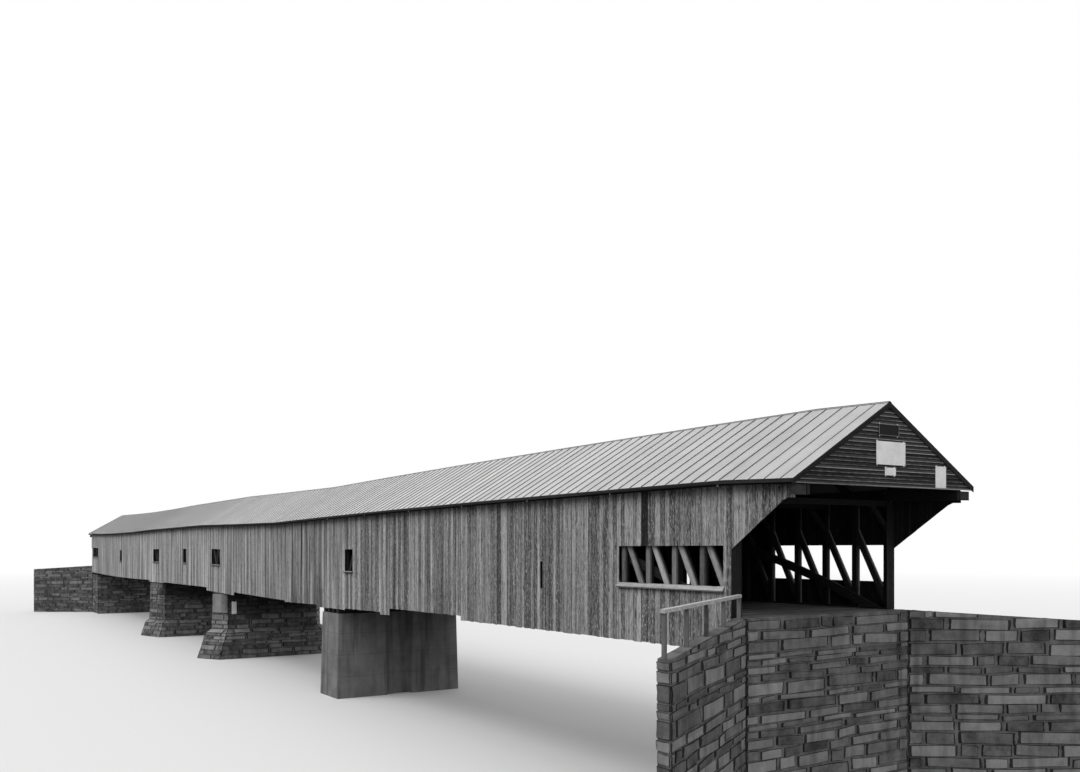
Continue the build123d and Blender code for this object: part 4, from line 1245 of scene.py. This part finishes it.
def piece_of(name, shape, *materials):
    """Finished piece of a bmesh, its faces turned outwards."""
    bmesh.ops.recalc_face_normals(shape, faces=shape.faces)
    mesh = bpy.data.meshes.new(name)
    shape.to_mesh(mesh)
    shape.free()
    for material in materials:
        mesh.materials.append(material)
    seat(set_out(name, mesh))


foot_board_depth, foot_board_proud = 0.0035, 0.0012
foot_board_ends = ((-clapboard_half, -0.092), (-0.0915, 0.161), (0.1615, clapboard_half))
foot_boards = bmesh.new()
for end, out in (("near", 1), ("far", -1)):
    low_corner, _, face_x, _ = gable_faces(end, out)
    xs = sorted((face_x, face_x + out * foot_board_proud))
    for y_low, y_high in foot_board_ends:
        bevelled(foot_boards, (xs[0], y_low, low_corner.z), (xs[1], y_high, low_corner.z + foot_board_depth))
piece_of("gable_foot_boards", foot_boards, wood("foot_board_wood", crosswise, 0.34, 0.1, (uncut, 0.4, uncut)))

# Plates of the gables, painted sheet iron on wooden backs, screwed at the corners and left bare.
# The uppermost is black in a pale moulding and the others are white.

plate_white, tree, shader = new_material("plate_white")
look = add(tree, "ShaderNodeGroup", {
    "Vector": object_place(tree), "Light": grey(0.88), "Dark": grey(0.5), "Tone": 1.1, "Blotch Scale": 30.0,
    "Speckle Scale": 500.0, "Stain": 0.35}, node_tree=mineral)
tree.links.new(look.outputs["Color"], shader["Base Color"])
shader["Roughness"].default_value = 0.45
plate_black = finish("plate_black", mineral, 0.012, 0.004, {"Stain": 0.0}, 0.1, 0.0003)
plate_thickness, plate_standoff, moulding_width, moulding_lip = 0.0016, 0.0006, 0.0016, 0.0009
batten_half, batten_inset, batten_depth, batten_reach = 0.0015, 0.005, 0.002, 0.003
screw_inset, screw_sunk, let_in = 0.004, 0.0001, 0.0002
gable_plates = (
    (-0.0485, 0.0415, 1.195, 1.229, True), (-0.0595, 0.0715, 1.109, 1.178, False),
    (-0.0215, 0.0275, 1.078, 1.101, False), (0.2155, 0.2665, 1.048, 1.114, False),
)
plates = bmesh.new()
plate_screws = []
face_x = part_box("near_gable")[1].x
back = face_x + plate_standoff
front = back + plate_thickness
lip = front + moulding_lip
for y_low, y_high, z_low, z_high, framed in gable_plates:
    count = len(plates.faces)
    bevelled(plates, (back, y_low, z_low), (front, y_high, z_high))
    plates.faces.ensure_lookup_table()
    for face in plates.faces[count:]:
        face.material_index = 1 if framed else 0
    if framed:
        count = len(plates.faces)
        low, high = z_low + moulding_width, z_high - moulding_width
        for a, b, c, d in (
            (y_low, y_high, z_low, low), (y_low, y_high, high, z_high),
            (y_low, y_low + moulding_width, low, high), (y_high - moulding_width, y_high, low, high),
        ):
            bevelled(plates, (back, a, c), (lip, b, d))
        plates.faces.ensure_lookup_table()
        for face in plates.faces[count:]:
            face.material_index = 2
    for y in (y_low + batten_inset, y_high - batten_inset):
        bevelled(plates, (face_x - batten_depth, y - batten_half, z_low - batten_reach),
                 (back + let_in, y + batten_half, z_high + batten_reach), 0.0002)
        for z in (z_low + screw_inset, z_high - screw_inset):
            plate_screws.append(Vector((front - screw_sunk, y, z)))
moulding_wood = wood("moulding_wood", crosswise, 0.3, 0.08)
piece_of("gable_plates", plates, plate_white, plate_black, moulding_wood)
studded("plate_screws", plate_screws, (0, right_angle, 0), 8, 0.0009, 0.0008)

# Board of the middle pier, bare and painted white.
# Two upright battens behind it hold it to the stones of the near side.

y_low, y_high, z_low, z_high = -0.324, -0.287, 0.338, 0.430
pier_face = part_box("middle_pier")[1].x
board_back, board_front = pier_face - 0.0012, pier_face + 0.0006
batten_back, batten_front = pier_face - 0.0062, pier_face - 0.001
batten_half, batten_inset, batten_reach = 0.002, 0.006, 0.004
pier_board = bmesh.new()
bevelled(pier_board, (board_back, y_low, z_low), (board_front, y_high, z_high))
for y in (y_low + batten_inset, y_high - batten_inset):
    bevelled(pier_board, (batten_back, y - batten_half, z_low - batten_reach),
             (batten_front, y + batten_half, z_high + batten_reach))
piece_of("pier_board", pier_board, plate_white)

# Spool knobs under the south eave, of turned and glazed clay.
# Each one hangs on a spike driven up into the boards of the eave.

knob_places = (5.61, 5.07, 4.53, 3.99, 3.45, 2.91, 2.37)
knob_profile = (
    (0.0007, 0.0), (0.0007, 0.0022), (0.002, 0.0025), (0.0022, 0.0034), (0.002, 0.0043), (0.0013, 0.0047),
    (0.0013, 0.0059), (0.002, 0.0064), (0.0022, 0.0073), (0.0019, 0.0081),
)
knob_sides, knob_drop, knob_inset = 12, 0.0095, 0.006
glazed_clay, tree, shader = new_material("glazed_clay")
shader["Base Color"].default_value = grey(0.38)
shader["Roughness"].default_value = 0.3
knobs = bmesh.new()
knob_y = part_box("south_roof")[0].y + knob_inset
turns = [math.tau * k / knob_sides for k in range(knob_sides)]
for x in knob_places:
    top_z = deck_z(x) + eave_above_deck - knob_drop
    rings = [
        [knobs.verts.new((x + radius * math.cos(t), knob_y + radius * math.sin(t), top_z - drop)) for t in turns]
        for radius, drop in knob_profile]
    knobs.faces.new(rings[0])
    knobs.faces.new(rings[-1])
    for upper, lower in zip(rings, rings[1:]):
        for quad in zip(upper, upper[1:] + upper[:1], lower[1:] + lower[:1], lower):
            knobs.faces.new(quad)
piece_of("eave_knobs", knobs, glazed_clay)
